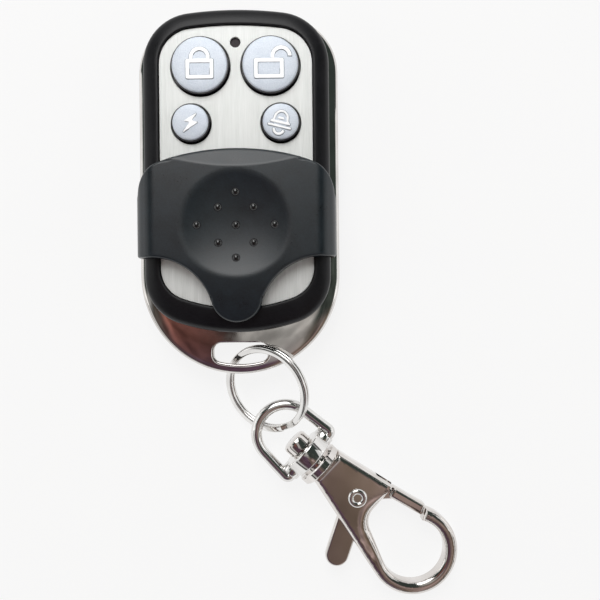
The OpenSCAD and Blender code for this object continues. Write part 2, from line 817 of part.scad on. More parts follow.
module swivel_eye() {
    r = eye_wire_d / 2;
    leg_l = (eye_base_u - eye_arc_u + eye_r * sin(eye_splay)) / cos(eye_splay);
    foot_v = eye_r * cos(eye_splay) + leg_l * sin(eye_splay);
    color("#c9c7c4") at_swivel() difference() {
        union() {
            translate([eye_arc_u, 0, 0]) rotate([0, 0, 90 + eye_splay])
                rotate_extrude(angle = 180 - 2 * eye_splay) translate([eye_r, 0]) circle(r = r);
            for (side = [-1, 1])
                translate([eye_arc_u, 0, 0]) rotate([0, 0, side * eye_splay])
                    translate([0, side * eye_r, 0]) rotate([0, 90, 0]) cylinder(h = leg_l, r = r);
            translate([eye_base_u - r, -foot_v - r, -r])
                cube([eye_wire_d, 2 * (foot_v + r), eye_wire_d]);
            along_u(eye_base - collar_l, collar_l, collar_d);
        }
        along_u(eye_base - collar_l - cut_over, collar_l + 2 * cut_over, stud_d + 2 * stud_gap);
    }
}

// Turn of a line that starts along reach and ends r to its side
function touch_angle(reach, r) = atan2(reach[1], reach[0]) + asin(r / norm(reach));

hook_c = [hook_u, 0];
left_turn = touch_angle(hook_c - [neck_u, neck_left], -hook_r);
right_turn = touch_angle(hook_c - [neck_u, neck_right], hook_r);
gate_from = gate_heel[0] - gate_w / 2 - gate_gap;
gate_to = gate_tip[0] + gate_w / 2 + gate_gap;

// Plan of the two cheeks, from the neck to the gate and along the start of the left limb
cheek_line = function (inset) [
    [neck_u + inset, neck_left + inset],
    [cheek_end - inset, neck_left + (cheek_end - neck_u) * tan(left_turn) + inset],
    [gate_from - inset, neck_right + (gate_from - neck_u) * tan(right_turn) - inset],
    [neck_u + inset, neck_right - inset]];

// Plan of the opening: a round throat widening to the hook's round inside
hole_line = function (inset)
    let (
        throat = [throat_u, throat_v],
        reach = hook_c - throat,
        r = hole_r - inset,
        small = throat_r - inset,
        left_a = touch_angle(reach, small - r) - 90,
        right_a = touch_angle(reach, r - small) + 90
    )
    concat(arc(hook_c, r, left_a, right_a, hook_steps),
        arc(throat, small, right_a, left_a + 360, hook_steps));

module limb_section() {
    r = limb_round;
    w = hook_limb / 2 - r;
    h = hook_t / 2 - r;
    translate([-w, -h - r]) square([2 * w, 2 * h + 2 * r]);
    translate([-w - r, -h]) square([2 * w + 2 * r, 2 * h]);
    for (x = [-w, w], y = [-h, h]) translate([x, y]) circle(r = r);
}

// Round hook from its tip to the straight left limb
module hook() {
    limb_r = hook_r - hook_limb / 2;
    tip_a = acos((gate_to - hook_u) / hook_r);
    limb_l = norm(hook_c - [cheek_end, 0]);
    translate([hook_u, 0, 0]) {
        rotate([0, 0, left_turn - 90]) {
            rotate_extrude(angle = tip_a - left_turn + 90) translate([limb_r, 0]) limb_section();
            translate([limb_r, 0, 0]) rotate([90, 0, 0]) linear_extrude(limb_l) limb_section();
        }
    }
}

module clasp_body() {
    half = clasp_t / 2;
    stud_u = eye_base - collar_l - slide_gap;
    shoulder = 0.4;
    color("#8d7a70") at_swivel() difference() {
        union() {
            difference() {
                skin(cheek_line, concat(round_down(-half, edge_round), round_up(half, edge_round)));
                slab(hole_line, -clasp_t, 2 * clasp_t);
                translate([gate_from, throat_v, -clasp_t]) cube([2 * hook_r, 2 * hook_r, 2 * clasp_t]);
            }
            hook();
            along_u(flange_u, flange_l + shoulder, flange_d - 2);
            along_u(flange_u + shoulder, flange_l - shoulder, flange_d);
            along_u(stud_u - stud_head_h, stud_head_h + flange_u - stud_u + shoulder, stud_d);
            along_u(stud_u - stud_head_h, stud_head_h, stud_head_d);
        }
        lever_cut();
        translate([rivet_u, rivet_v, -clasp_t]) cylinder(h = 2 * clasp_t, d = rivet_d + fit_gap);
    }
}

// Slot through the body for the lever's hub, its tab and its gate as they turn
module lever_cut() {
    room = 0.3;
    reach = 14;
    side = tab_w / 2 + room;
    tab_a = atan2(tab_end[1] - rivet_v, tab_end[0] - rivet_u);
    open_a = tab_a - lever_open;
    along = [cos(tab_a), sin(tab_a)];
    across = [-sin(tab_a), cos(tab_a)];
    open_along = [cos(open_a), sin(open_a)];
    open_across = [-sin(open_a), cos(open_a)];
    translate([rivet_u, rivet_v, -lever_slot / 2]) {
        cylinder(h = lever_slot, r = hub_r + room);
        linear_extrude(lever_slot) polygon([side * across, reach * along + side * across,
            reach * open_along - side * open_across, -side * open_across]);
        linear_extrude(lever_slot) polygon([[-hub_r / 2, 0], [0, -hub_r], [reach / 2, -hub_r],
            [reach / 2, reach], [hub_r, reach]]);
    }
}

module clasp_rivet() {
    dimple_d = 1.6;
    top = clasp_t / 2;
    color("#d0cecb") at_swivel() translate([rivet_u, rivet_v, 0]) difference() {
        union() {
            translate([0, 0, -top]) cylinder(h = clasp_t, d = rivet_d);
            for (z = [top, -top - rivet_head_h]) translate([0, 0, z]) cylinder(h = rivet_head_h, d = rivet_head_d);
        }
        for (z = [top + 0.1, -top - rivet_head_h - 0.1]) translate([0, 0, z]) cylinder(h = rivet_head_h, d = dimple_d);
    }
}

// One link of the lever, with round ends
module link(from, to, w, h) {
    turn = atan2(to[1] - from[1], to[0] - from[0]);
    translate([0, 0, -h / 2]) linear_extrude(h) polygon(concat(
        arc(from, w / 2, turn + 90, turn + 270, 2 * corner_steps),
        arc(to, w / 2, turn - 90, turn + 90, 2 * corner_steps)));
}

module clasp_lever() {
    pivot = [rivet_u, rivet_v];
    gate_t = clasp_t - 2 * edge_round + 0.4;
    color("#7d6a60") at_swivel() difference() {
        union() {
            translate([rivet_u, rivet_v, -lever_t / 2]) cylinder(h = lever_t, r = hub_r);
            link(pivot, tab_end, tab_w, lever_t);
            link(pivot, gate_heel, gate_w - slide_gap, lever_t);
            link(gate_heel, gate_tip, gate_w, gate_t);
        }
        translate([rivet_u, rivet_v, -lever_t]) cylinder(h = 2 * lever_t, d = rivet_d + 2 * fit_gap);
        translate([rivet_u, rivet_v, -lever_t])
            cylinder(h = lever_t + spring_room, r = spring_r + spring_wire / 2 + spring_room);
    }
}

// Two turns of wire in the lever's hub, round the rivet
module lever_spring() {
    pitch = 0.36;
    z = -lever_slot / 2 + spring_wire / 2;
    color("#b0b0ae") at_swivel() translate([rivet_u, rivet_v, z]) for (i = [0, 1])
        translate([0, 0, i * pitch]) rotate_extrude() translate([spring_r, 0]) circle(d = spring_wire);
}

front_shell();
face_plate();
chrome_frame();
rear_cover();
case_screws();
circuit_board();
switch_bodies();
indicator_led();
light_pipe();
encoder_chip();
resonator();
battery();
battery_plate();
battery_spring();
slide_cover();
lock_key();
lock_cap();
lock_plunger();
unlock_key();
unlock_cap();
unlock_plunger();
flash_key();
flash_cap();
flash_plunger();
bell_key();
bell_cap();
bell_plunger();
key_ring();
swivel_eye();
clasp_body();
clasp_rivet();
clasp_lever();
lever_spring();
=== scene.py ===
import json
from math import acos, asin, atan2, copysign, cos, degrees, hypot, pi, radians, sin, sqrt, tan

import bmesh
import bpy
from mathutils import Matrix, Vector


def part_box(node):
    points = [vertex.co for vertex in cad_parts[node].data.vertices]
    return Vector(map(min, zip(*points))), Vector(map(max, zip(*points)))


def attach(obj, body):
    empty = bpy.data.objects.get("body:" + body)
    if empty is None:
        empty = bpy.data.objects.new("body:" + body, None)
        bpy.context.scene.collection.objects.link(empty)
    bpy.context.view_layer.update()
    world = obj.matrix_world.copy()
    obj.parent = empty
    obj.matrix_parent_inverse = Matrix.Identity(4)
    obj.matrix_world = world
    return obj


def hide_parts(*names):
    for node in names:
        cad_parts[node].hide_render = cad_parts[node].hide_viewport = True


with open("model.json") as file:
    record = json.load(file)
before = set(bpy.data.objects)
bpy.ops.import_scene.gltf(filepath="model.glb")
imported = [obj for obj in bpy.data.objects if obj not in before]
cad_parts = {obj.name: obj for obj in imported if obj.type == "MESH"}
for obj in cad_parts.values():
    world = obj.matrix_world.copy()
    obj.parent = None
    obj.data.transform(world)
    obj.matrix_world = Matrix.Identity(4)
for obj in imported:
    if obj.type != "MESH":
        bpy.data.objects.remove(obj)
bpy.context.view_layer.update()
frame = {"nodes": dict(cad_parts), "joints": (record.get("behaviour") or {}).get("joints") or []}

# Shapes are worked out in millimetres, in the CAD frame, and brought to metres when a piece is made.
MM = 0.001
JOINTS = {j["name"]: j for j in frame["joints"]}


def mm_box(node):
    low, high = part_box(node)
    return low / MM, high / MM


# Sizes read from the frame
SHELL_LOW, SHELL_HIGH = mm_box("front_shell")
FRAME_LOW, FRAME_HIGH = mm_box("chrome_frame")
REAR_LOW, REAR_HIGH = mm_box("rear_cover")
PLATE_LOW, PLATE_HIGH = mm_box("face_plate")
COVER_LOW, COVER_HIGH = mm_box("slide_cover")
RING_LOW, RING_HIGH = mm_box("key_ring")

# Case; an end of an outline is (y, radius, corner radius)
CASE_TOP = (SHELL_HIGH.y, 58.0, 8.0)
CASE_BOTTOM = (SHELL_LOW.y, 29.0, 7.5)
SHELL_WALL = 1.6
RIM_R = 1.2
RIM_FALL = 0.35
RIM_CURVE = 1.6
CREST_GAP = 0.25
LIP_GAP = 0.16
LIP_FALLS = (0.03, 0.12)
PLATE_FIT = 0.1
PLATE_EDGE = 0.07
DECK_T = 1.0
REBATE_DEPTH = 0.65
REBATE_H = 1.2
REBATE_STEP = 0.01
REBATE_Y = (-13.7, 14.9)
SIDE_ROOM = 0.02
REAR_ROUND = 1.4
FLOOR_T = 1.0
TONGUE_T = 1.6
TONGUE_LOW = FRAME_HIGH.z - TONGUE_T
FRAME_INSIDE = 1.35
FRAME_FALL = 0.28
SLOT_W = 8.6
SLOT_H = 3.46
SLOT_CORNER = 1.2
SLOT_RIM = 0.5
SLOT_RIM_LESS = 0.1
SLOT_RIM_LIFT = 0.03
SLOT_RIM_ROUND = 0.48
BAR_W = 1.6
HOLE_GAP = 0.25
SCREW_HOLE_R = 1.7
SCREWS = ((10.9, 11.6), (10.1, -18.5))

# Keys and their signs
KEYS = ("lock", "unlock", "flash", "bell")
CAP_INSET = 0.15
CAP_CROWN = 0.06
LAMP_R = 0.8
SIGN_H = 0.2
SIGN_SINK = 0.05
SIGN_EDGE = 0.05
# The grey border round each sign is painted shade for the shade along the raised strokes' edges; these set
# its width and its edge.
SIGN_SHADE_BORDER = 0.08
SHADE_BORDER_EDGE = 0.01
STROKE = 0.57
LOCK_LOW = -2.25
LOCK_TOP = 0.8
WINDOW_TOP = 0.2
WINDOW_CORNER = 0.1

# Slide cover
ROOF_Z = COVER_HIGH.z - 1.6
SKIRT_T = 0.65
SKIRT_ROUND = SKIRT_T * 0.4
SHOULDER_R = 3.0
SHOULDER_T = 1.0
COVER_EDGE_R = 32.0
COVER_EDGE_CORNER = 5.5
COVER_ROUND = 0.35
CUT_R = 9.5
CUT_X = 12.9
CUT_TOP_IN = 9.9
DISH_R = 8.2
DISH_DEPTH = 0.9
DISH_Y = COVER_HIGH.y - 11.7
DISH_BLEND = 0.12
SCOOP_IN = 2.8
SCOOP_R = 36.0
SCOOP_SLOPE = radians(20)
SCOOP_BLEND = 0.05
NOSE_R = 60.0
BUMP_R = 0.65
BUMP_H = 0.36
BUMP_FOOT = 0.3
BUMP_X = 5.9
BUMP_Y = 5.0
BUMP_SLANT = 2.7

# Key ring, with its turn about Z and its lean; the wire is (width, height)
RING_TURN = radians(122)
RING_LEAN = radians(-33)
RING_R = 6.9
RING_WIRE = (1.15, 0.62)
RING_CORNER = 0.28
RING_STEP = 0.31

# Swivel eye and clasp: u runs from the swivel to the hook, v to its side and w up. Points are (u, v), names
# that end in _U hold a start and an end, NECK is (u, left v, right v) and THROAT is (u, v, radius).
EYE_ARC_U = -6.5
EYE_R = 4.7
EYE_WIRE_R = 0.9
EYE_SPLAY = radians(5)
EYE_BASE = -1.2
EYE_CORNER = 0.6
BOSS_R = 1.55
BOSS_BEVEL = 0.1
BOSS_LEVELS = (3.2, 4.2, 4.35)
COLLAR_R = 3.8
COLLAR_U = (-2.9, -0.3)
COLLAR_EDGE = 0.3
COLLAR_BORE = 1.45
BORE_BEVEL = 0.1
STUD_U = (-4.95, -3.05)
STUD_HEAD_R = 2.15
STUD_R = COLLAR_BORE - 0.15
FLANGE_U = (-0.15, 1.75)
FLANGE_R = 3.75
CLASP_T = 3.6
CLASP_EDGE = 0.95
NECK = (1.75, -2.4, 3.7)
HOOK = (22.0, 0.0)
HOOK_T = 3.0
HOOK_R = 7.3
HOOK_FIT = 0.02
HOOK_LIMB = 2.1
HOOK_INNER_R = HOOK_R - HOOK_LIMB
THROAT = (15.6, 0.7, 3.2)
THROAT_FROM = 176
CHEEK_ROUND = 0.3
CHEEK_FOOT = 1.5
CHEEK_FOOT_ROUND = 0.5
RIVET = (9.0, 0.3)
RIVET_HEAD_R = 1.55
RIVET_R = 0.8
LEVER_T = 1.4
LEVER_EDGE = 0.4
LEVER_SLOT = 1.7
LEVER_ROOM = 0.3
GATE_HEEL = (13.5, 4.85)
GATE_TIP = (17.5, 5.75)
GATE_W = 1.9
GATE_T = 2.6
GATE_EDGE = 0.6
GATE_GAP = 0.2
ARM_LESS = 0.08
TAB_END = (13.3, -8.94)
TAB_W = 3.9
HUB_R = 2.3

# Lengths and turns below these count as none
TINY = 0.001
STRAIGHT = 0.01


# Outlines

def arc(centre, r, start, end, steps):
    """Points of an arc with both its ends, from angles in degrees; no turn gives one point."""
    if abs(end - start) < STRAIGHT:
        steps = 0
    turns = [radians(start + (end - start) * i / max(steps, 1)) for i in range(steps + 1)]
    return [(centre[0] + r * cos(t), centre[1] + r * sin(t)) for t in turns]


def circle(centre, r, steps=48):
    return arc(centre, r, 0, 360, steps)[:-1]


def towards(a, b, share):
    return a[0] + (b[0] - a[0]) * share, a[1] + (b[1] - a[1]) * share


def along(a, b, steps):
    """Points from a to b, without a and b."""
    return [towards(a, b, i / steps) for i in range(1, steps)]


def between(first, last, share):
    """An outline part of the way from one to another."""
    return [towards(a, b, share) for a, b in zip(first, last)]


def pill_end(half, end, side, inset, corner_steps, end_steps):
    """The upper end of a pill (side 1) or the lower one (side -1)."""
    y, r, corner = end
    x = half - corner
    rise = sqrt(max(0.0, (r - corner) ** 2 - x ** 2))
    turn = degrees(atan2(rise, x)) if x > TINY else 0.0
    start = 90 - 90 * side
    middle = y - side * r
    corner_y = middle + side * rise
    first = arc((side * x, corner_y), corner - inset, start, start + turn, corner_steps)
    crown = arc((0, middle), r - inset, start + turn, start + 180 - turn, end_steps)[1:-1]
    last = arc((-side * x, corner_y), corner - inset, start + 180 - turn, start + 180, corner_steps)
    return first + crown + last


def pill(half, top, bottom, inset=0.0, corner_steps=16, end_steps=28, side_steps=24):
    """Straight sides, curved ends and round corners; an end is (y, radius, corner radius)."""
    upper = pill_end(half, top, 1, inset, corner_steps, end_steps)
    lower = pill_end(half, bottom, -1, inset, corner_steps, 2 * end_steps)
    return upper + along(upper[-1], lower[0], side_steps) + lower + along(lower[-1], upper[0], side_steps)


def case_line(inset=0.0):
    return pill(SHELL_HIGH.x, CASE_TOP, CASE_BOTTOM, inset)


def frame_line(inset=0.0):
    top = (FRAME_HIGH.y, CASE_TOP[1], CASE_TOP[2] + FRAME_HIGH.y - SHELL_HIGH.y)
    return pill(FRAME_HIGH.x, top, (FRAME_LOW.y, FRAME_HIGH.x, FRAME_HIGH.x), inset)


def rear_line(inset=0.0):
    top = (REAR_HIGH.y, CASE_TOP[1], CASE_TOP[2] + REAR_HIGH.y - SHELL_HIGH.y)
    bottom = (REAR_LOW.y, CASE_BOTTOM[1], CASE_BOTTOM[2] + REAR_HIGH.x - SHELL_HIGH.x)
    return pill(REAR_HIGH.x, top, bottom, inset)


def plate_line(inset=0.0):
    side = SHELL_HIGH.x - PLATE_HIGH.x
    top = (PLATE_HIGH.y, CASE_TOP[1] + PLATE_HIGH.y - SHELL_HIGH.y, CASE_TOP[2] - side)
    bottom = (PLATE_LOW.y, CASE_BOTTOM[1] + SHELL_LOW.y - PLATE_LOW.y, CASE_BOTTOM[2] - side)
    return pill(PLATE_HIGH.x, top, bottom, inset)


def slot_line(inset=0.0):
    """The key slot, with an almost straight upper side."""
    middle = FRAME_LOW.y + BAR_W + SLOT_H / 2
    almost_straight = 20 * SLOT_W
    top = (middle + SLOT_H / 2, almost_straight, SLOT_CORNER)
    bottom = (middle - SLOT_H / 2, FRAME_HIGH.x - BAR_W, SLOT_CORNER)
    return pill(SLOT_W / 2, top, bottom, inset, corner_steps=12, end_steps=20, side_steps=4)


def link_line(a, b, r):
    """Outline of a bar with round ends."""
    steps = 14
    turn = degrees(atan2(b[1] - a[1], b[0] - a[0]))
    return arc(a, r, turn + 90, turn + 270, steps) + arc(b, r, turn - 90, turn + 90, steps)


def round_section(w, h, r):
    """A rectangle with round corners, as points about its middle."""
    steps = 5
    x = w / 2 - r
    y = h / 2 - r
    corners = ((x, y, 0), (-x, y, 90), (-x, -y, 180), (x, -y, 270))
    return [p for cx, cy, a in corners for p in arc((cx, cy), r, a, a + 90, steps)]


def quarter(z, r, up, steps=8):
    """A rounded edge as (height, inset) pairs, from the wall to the face."""
    turns = [pi / 2 * i / steps for i in range(steps + 1)]
    side = 1 if up else -1
    return [(z - side * r * (1 - sin(t)), r * (1 - cos(t))) for t in turns]


def rounded(corners, steps=6):
    """Outline through corners (x, y, radius), each turned by an arc of its radius."""
    line = []
    for i, (x, y, r) in enumerate(corners):
        here = Vector((x, y))
        back = (Vector(corners[i - 1][:2]) - here).normalized()
        ahead = (Vector(corners[(i + 1) % len(corners)][:2]) - here).normalized()
        half = back.angle(ahead) / 2
        if r < TINY or pi / 2 - half < STRAIGHT:
            line.append((x, y))
            continue
        centre = here + (back + ahead).normalized() * (r / sin(half))
        first = here + back * (r / tan(half)) - centre
        last = here + ahead * (r / tan(half)) - centre
        start = degrees(atan2(first.y, first.x))
        turn = degrees(atan2(last.y, last.x)) - start
        turn = (turn + 180) % 360 - 180
        line += arc(centre, r, start, start + turn, steps)
    return line


def ray_line(line):
    """The same outline as points at even turns about the case's middle."""
    steps = 360
    parallel = 1e-9
    margin = 1e-6
    points = []
    for i in range(steps):
        turn = 2 * pi * i / steps
        ray = Vector((cos(turn), sin(turn)))
        far = 0.0
        for a, b in zip(line, line[1:] + line[:1]):
            here = Vector(a)
            step = Vector(b) - here
            lean = ray.x * step.y - ray.y * step.x
            if abs(lean) < parallel:
                continue
            share = (ray.y * here.x - ray.x * here.y) / lean
            if -margin <= share <= 1 + margin:
                far = max(far, (here + step * share).dot(ray))
        points.append((ray.x * far, ray.y * far))
    return points


# Meshes: turned shapes start AXIS_R from the axis, points within WELD become one, edges past SHARP degrees
# are sharp, and faces with a steeper normal than FACE_TILT are level.
AXIS_R = 0.0001
WELD = 0.0005
SHARP = 32
FACE_TILT = 0.995


def crease(work, sharp):
    """Marks the edges of a bmesh that turn by more than an angle in degrees."""
    limit = radians(sharp)
    for edge in work.edges:
        if len(edge.link_faces) == 2 and edge.calc_face_angle() > limit:
            edge.smooth = False


def finish_mesh(name, mesh, place=None, sharp=SHARP, flat_faces=False):
    """Places, sizes and shades a mesh; flat_faces sets level faces off from round edges."""
    work = bmesh.new()
    work.from_mesh(mesh)
    bmesh.ops.remove_doubles(work, verts=work.verts, dist=WELD)
    bmesh.ops.recalc_face_normals(work, faces=work.faces)
    for face in work.faces:
        face.smooth = True
    crease(work, sharp)
    if flat_faces:
        for edge in work.edges:
            if len({abs(face.normal.z) > FACE_TILT for face in edge.link_faces}) == 2:
                edge.smooth = False
    work.to_mesh(mesh)
    work.free()
    if place is not None:
        mesh.transform(place)
    mesh.transform(Matrix.Scale(MM, 4))
    mesh.update()
    return link_piece(name, mesh)


def link_piece(name, mesh):
    piece = bpy.data.objects.new(name, mesh)
    bpy.context.scene.collection.objects.link(piece)
    return piece


def evaluated(piece):
    shown = piece.evaluated_get(bpy.context.evaluated_depsgraph_get())
    return bpy.data.meshes.new_from_object(shown)


def raw_mesh(name, points, faces):
    mesh = bpy.data.meshes.new(name)
    mesh.from_pydata(points, [], faces)
    return mesh


def loft(name, rings, place=None, closed=False, capped=False, sharp=SHARP):
    """Skins rings with the same count of points; closed joins the last ring to the first."""
    n = len(rings[0])
    count = len(rings)
    faces = []
    for i in range(count if closed else count - 1):
        a = i * n
        b = (i + 1) % count * n
        faces += [(a + k, a + (k + 1) % n, b + (k + 1) % n, b + k) for k in range(n)]
    if capped:
        faces.append(tuple(range(n))[::-1])
        faces.append(tuple(range((count - 1) * n, count * n)))
    points = [p for ring in rings for p in ring]
    return finish_mesh(name, raw_mesh(name, points, faces), place, sharp)


def level(line, z):
    return [(x, y, z) for x, y in line]


def lathe(name, profile, place, closed=False, steps=64, sharp=40):
    """Turns (radius, height) points about Z."""
    turns = [2 * pi * i / steps for i in range(steps)]
    rings = [[(r * cos(t), r * sin(t), z) for t in turns] for r, z in profile]
    return loft(name, rings, place, closed, sharp=sharp)


def sweep(name, path, section, place, closed=False, heights=None, sharp=60):
    """Runs a section along a flat path; heights lifts each point of the path."""
    rings = []
    last = len(path) - 1
    for i, (x, y) in enumerate(path):
        before = path[i - 1] if closed or i > 0 else path[i]
        after = path[(i + 1) % len(path)] if closed or i < last else path[i]
        ahead = Vector((after[0] - before[0], after[1] - before[1])).normalized()
        side = Vector((-ahead.y, ahead.x))
        z = heights[i] if heights else 0.0
        rings.append([(x + side.x * a, y + side.y * a, z + b) for a, b in section])
    return loft(name, rings, place, closed, not closed, sharp)


def plate_mesh(name, outline, holes, low, high, edge, grow=0.0):
    """A plate with holes and round edges, in millimetres; grow widens it past its outlines."""
    curve = bpy.data.curves.new(name, "CURVE")
    curve.dimensions = "2D"
    curve.fill_mode = "BOTH"
    curve.extrude = (high - low) / 2 - edge
    curve.bevel_depth = edge
    curve.bevel_resolution = 6
    curve.offset = grow - edge
    for line in (outline, *holes):
        spline = curve.splines.new("POLY")
        spline.points.add(len(line) - 1)
        for point, (x, y) in zip(spline.points, line):
            point.co = (x, y, 0, 1)
        spline.use_cyclic_u = True
    carrier = link_piece(name + "_line", curve)
    mesh = evaluated(carrier)
    bpy.data.objects.remove(carrier)
    bpy.data.curves.remove(curve)
    mesh.transform(Matrix.Translation((0, 0, (low + high) / 2)))
    return mesh


def plate(name, outline, holes, low, high, edge=0.0, place=None, grow=0.0):
    mesh = plate_mesh(name, outline, holes, low, high, edge, grow)
    return finish_mesh(name, mesh, place, flat_faces=True)


def join(name, *pieces):
    """One object from several."""
    work = bmesh.new()
    for piece in pieces:
        work.from_mesh(piece.data)
        bpy.data.objects.remove(piece)
    mesh = bpy.data.meshes.new(name)
    work.to_mesh(mesh)
    work.free()
    return link_piece(name, mesh)


def cut(piece, *tools):
    """Takes the tools' shapes out of the piece."""
    for tool in tools:
        step = piece.modifiers.new("cut", "BOOLEAN")
        step.operation = "DIFFERENCE"
        step.solver = "EXACT"
        step.object = tool
    mesh = evaluated(piece)
    piece.modifiers.clear()
    piece.data = mesh
    work = bmesh.new()
    work.from_mesh(mesh)
    crease(work, SHARP)
    work.to_mesh(mesh)
    work.free()
    for tool in tools:
        bpy.data.objects.remove(tool)
    return piece


def dress(piece, body, material, slot, *nodes):
    """Puts a piece on its body, in its material, in place of the CAD nodes it stands for."""
    piece.data.materials.clear()
    piece.data.materials.append(material)
    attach(piece, body)
    if nodes:
        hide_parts(*nodes)


# Materials: the broad grain is BROAD times as coarse as the fine one; most noise is in NOISE_RANGE.
BROAD = 12
BROAD_SHARE = 0.4
BROAD_DETAIL = 2.0
NOISE_RANGE = (0.3, 0.7)
TONE_FROM = 0.35
TONE_TO = 0.65
RELIEF = 0.6


def linear(hex_colour):
    """A web colour as Blender's linear RGBA."""
    parts = [int(hex_colour[i:i + 2], 16) / 255 for i in (1, 3, 5)]
    return tuple(c / 12.92 if c <= 0.04045 else ((c + 0.055) / 1.055) ** 2.4 for c in parts) + (1.0,)


def add(tree, kind, output, inputs, **settings):
    """One output of a new shader node, whose inputs are constants or other outputs."""
    node = tree.nodes.new("ShaderNode" + kind)
    for name, value in settings.items():
        setattr(node, name, value)
    for socket, value in inputs.items():
        if isinstance(value, bpy.types.NodeSocket):
            tree.links.new(value, node.inputs[socket])
        else:
            node.inputs[socket].default_value = value
    return node.outputs[output]


def grain(tree, cell, stretch, detail):
    """Noise with cells of that size in millimetres, stretched along the axes."""
    place = add(tree, "TexCoord", "Object", {})
    scale = [1 / (cell * MM * s) for s in stretch]
    spot = add(tree, "Mapping", "Vector", {"Vector": place, "Scale": scale})
    return add(tree, "TexNoise", "Fac", {"Vector": spot, "Scale": 1.0, "Detail": detail})


def remap(tree, value, source, target=(0.0, 1.0), kind="LINEAR"):
    """Brings a value from the source range to the target range."""
    limits = zip(("From Min", "From Max", "To Min", "To Max"), (*source, *target))
    return add(tree, "MapRange", "Result", {"Value": value, **dict(limits)}, interpolation_type=kind)


def smooth(tree, value, source, target=(0.0, 1.0)):
    return remap(tree, value, source, target, "SMOOTHSTEP")


def ramp(tree, value, stops):
    """The colour of a value on a ramp with (position, colour) stops."""
    node = tree.nodes.new("ShaderNodeValToRGB")
    elements = node.color_ramp.elements
    for element, (position, colour) in zip(elements, (stops[0], stops[-1])):
        element.position = position
        element.color = linear(colour)
    for position, colour in stops[1:-1]:
        elements.new(position).color = linear(colour)
    tree.links.new(value, node.inputs["Fac"])
    return node.outputs["Color"]


def surface(name, dark, light, rough, metallic=0.0, cell=0.4, stretch=(1, 1, 1), bump=0.0, detail=3.0,
            **constants):
    """A material whose colour, roughness and relief vary with a fine grain and a broad one."""
    material = bpy.data.materials.new(name)
    material.use_nodes = True
    tree = material.node_tree
    shader = tree.nodes["Principled BSDF"]
    shader.inputs["Metallic"].default_value = metallic
    for socket, value in constants.items():
        shader.inputs[socket.replace("_", " ")].default_value = value
    fine = grain(tree, cell, stretch, detail)
    broad = grain(tree, BROAD * cell, stretch, BROAD_DETAIL)
    mixed = add(tree, "Mix", "Result", {"Factor": BROAD_SHARE, "A": fine, "B": broad})
    tone = ramp(tree, mixed, ((TONE_FROM, dark), (TONE_TO, light)))
    tree.links.new(tone, shader.inputs["Base Color"])
    tree.links.new(remap(tree, mixed, NOISE_RANGE, rough), shader.inputs["Roughness"])
    if bump:
        relief = {"Strength": RELIEF, "Distance": bump * MM, "Height": fine}
        tree.links.new(add(tree, "Bump", "Normal", relief), shader.inputs["Normal"])
    return material


# Dark and light colour, range of roughness and, where they differ from the usual, metal and grain
SHELL_BLACK = surface("shell_black", "#0d0d10", "#16161a", (0.3, 0.4), cell=0.25, bump=0.006,
                      Specular_IOR_Level=0.3)
COVER_BLACK = surface("cover_black", "#0e161b", "#18232a", (0.27, 0.35), cell=0.22, bump=0.006,
                      Specular_IOR_Level=0.6)
BUMP_BLACK = surface("bump_black", "#050607", "#0a0b0d", (0.14, 0.2), cell=0.22, bump=0.001,
                     Specular_IOR_Level=0.8)
REAR_BLACK = surface("rear_black", "#121214", "#1c1c1f", (0.45, 0.58), cell=0.35, bump=0.02,
                     Specular_IOR_Level=0.35)
KEY_BLACK = surface("key_black", "#0f0c15", "#1a1622", (0.2, 0.28), cell=0.3, bump=0.002)
BRUSHED = surface("brushed_plate", "#e4e7e4", "#fbfdfb", (0.4, 0.52), 0.3, 0.06, (1, 60, 1), bump=0.006)
CHROME = surface("frame_chrome", "#d0ccc9", "#e2dfdc", (0.03, 0.08), 1.0, 2.4, bump=0.02, detail=0.8)
NICKEL = surface("ring_nickel", "#dbd9d7", "#eae9e7", (0.05, 0.11), 1.0, 2.0, bump=0.006, detail=0.6)
CLASP_NICKEL = surface("clasp_nickel", "#d6d1cd", "#e6e2df", (0.05, 0.1), 1.0, 3.0, bump=0.012, detail=0.6)
CAP_SILVER = surface("cap_silver", "#cad3df", "#e3eaf3", (0.36, 0.46), 0.25, 0.18, bump=0.004)
SIGN_WHITE = surface("sign_white", "#f4f6f8", "#fefefe", (0.36, 0.46), 0.45, 0.2, bump=0.003)
# Painted shade: this grey stands in for the shade along the edges of the raised sign strokes.
SIGN_SHADE_GREY = surface("sign_painted_shade", "#6d7684", "#8a93a1", (0.4, 0.5), 0.2, 0.2, bump=0.003)
PLUNGER = surface("plunger_white", "#bfb9aa", "#d2ccbe", (0.4, 0.5))
SCREW_STEEL = surface("screw_steel", "#85878a", "#a3a5a7", (0.25, 0.4), 1.0, 0.2, bump=0.004)
BOARD_GREEN = surface("board_green", "#17492e", "#22653f", (0.3, 0.45), cell=0.8, bump=0.004)
SWITCH_GREY = surface("switch_grey", "#303133", "#434447", (0.4, 0.55))
LED_RED = surface("led_red", "#9c2d24", "#c4443a", (0.1, 0.2), Coat_Weight=0.5)
SMOKED = surface("pipe_smoke", "#1d1518", "#33272b", (0.3, 0.4), cell=0.5, Specular_IOR_Level=0.25)
CHIP_BLACK = surface("chip_black", "#212123", "#313133", (0.5, 0.65), bump=0.006)
CAN_STEEL = surface("can_steel", "#a5a7a8", "#c4c6c7", (0.2, 0.3), 1.0, 0.3)
CELL_WRAP = surface("cell_wrap", "#b7a14c", "#d2bd66", (0.2, 0.32), 0.4, 0.5)
CONTACT = surface("contact_metal", "#bab39c", "#d6d0bb", (0.2, 0.32), 1.0, 0.3)
SPRING_STEEL = surface("spring_steel", "#9d9d9b", "#bababa", (0.2, 0.32), 1.0, 0.2)


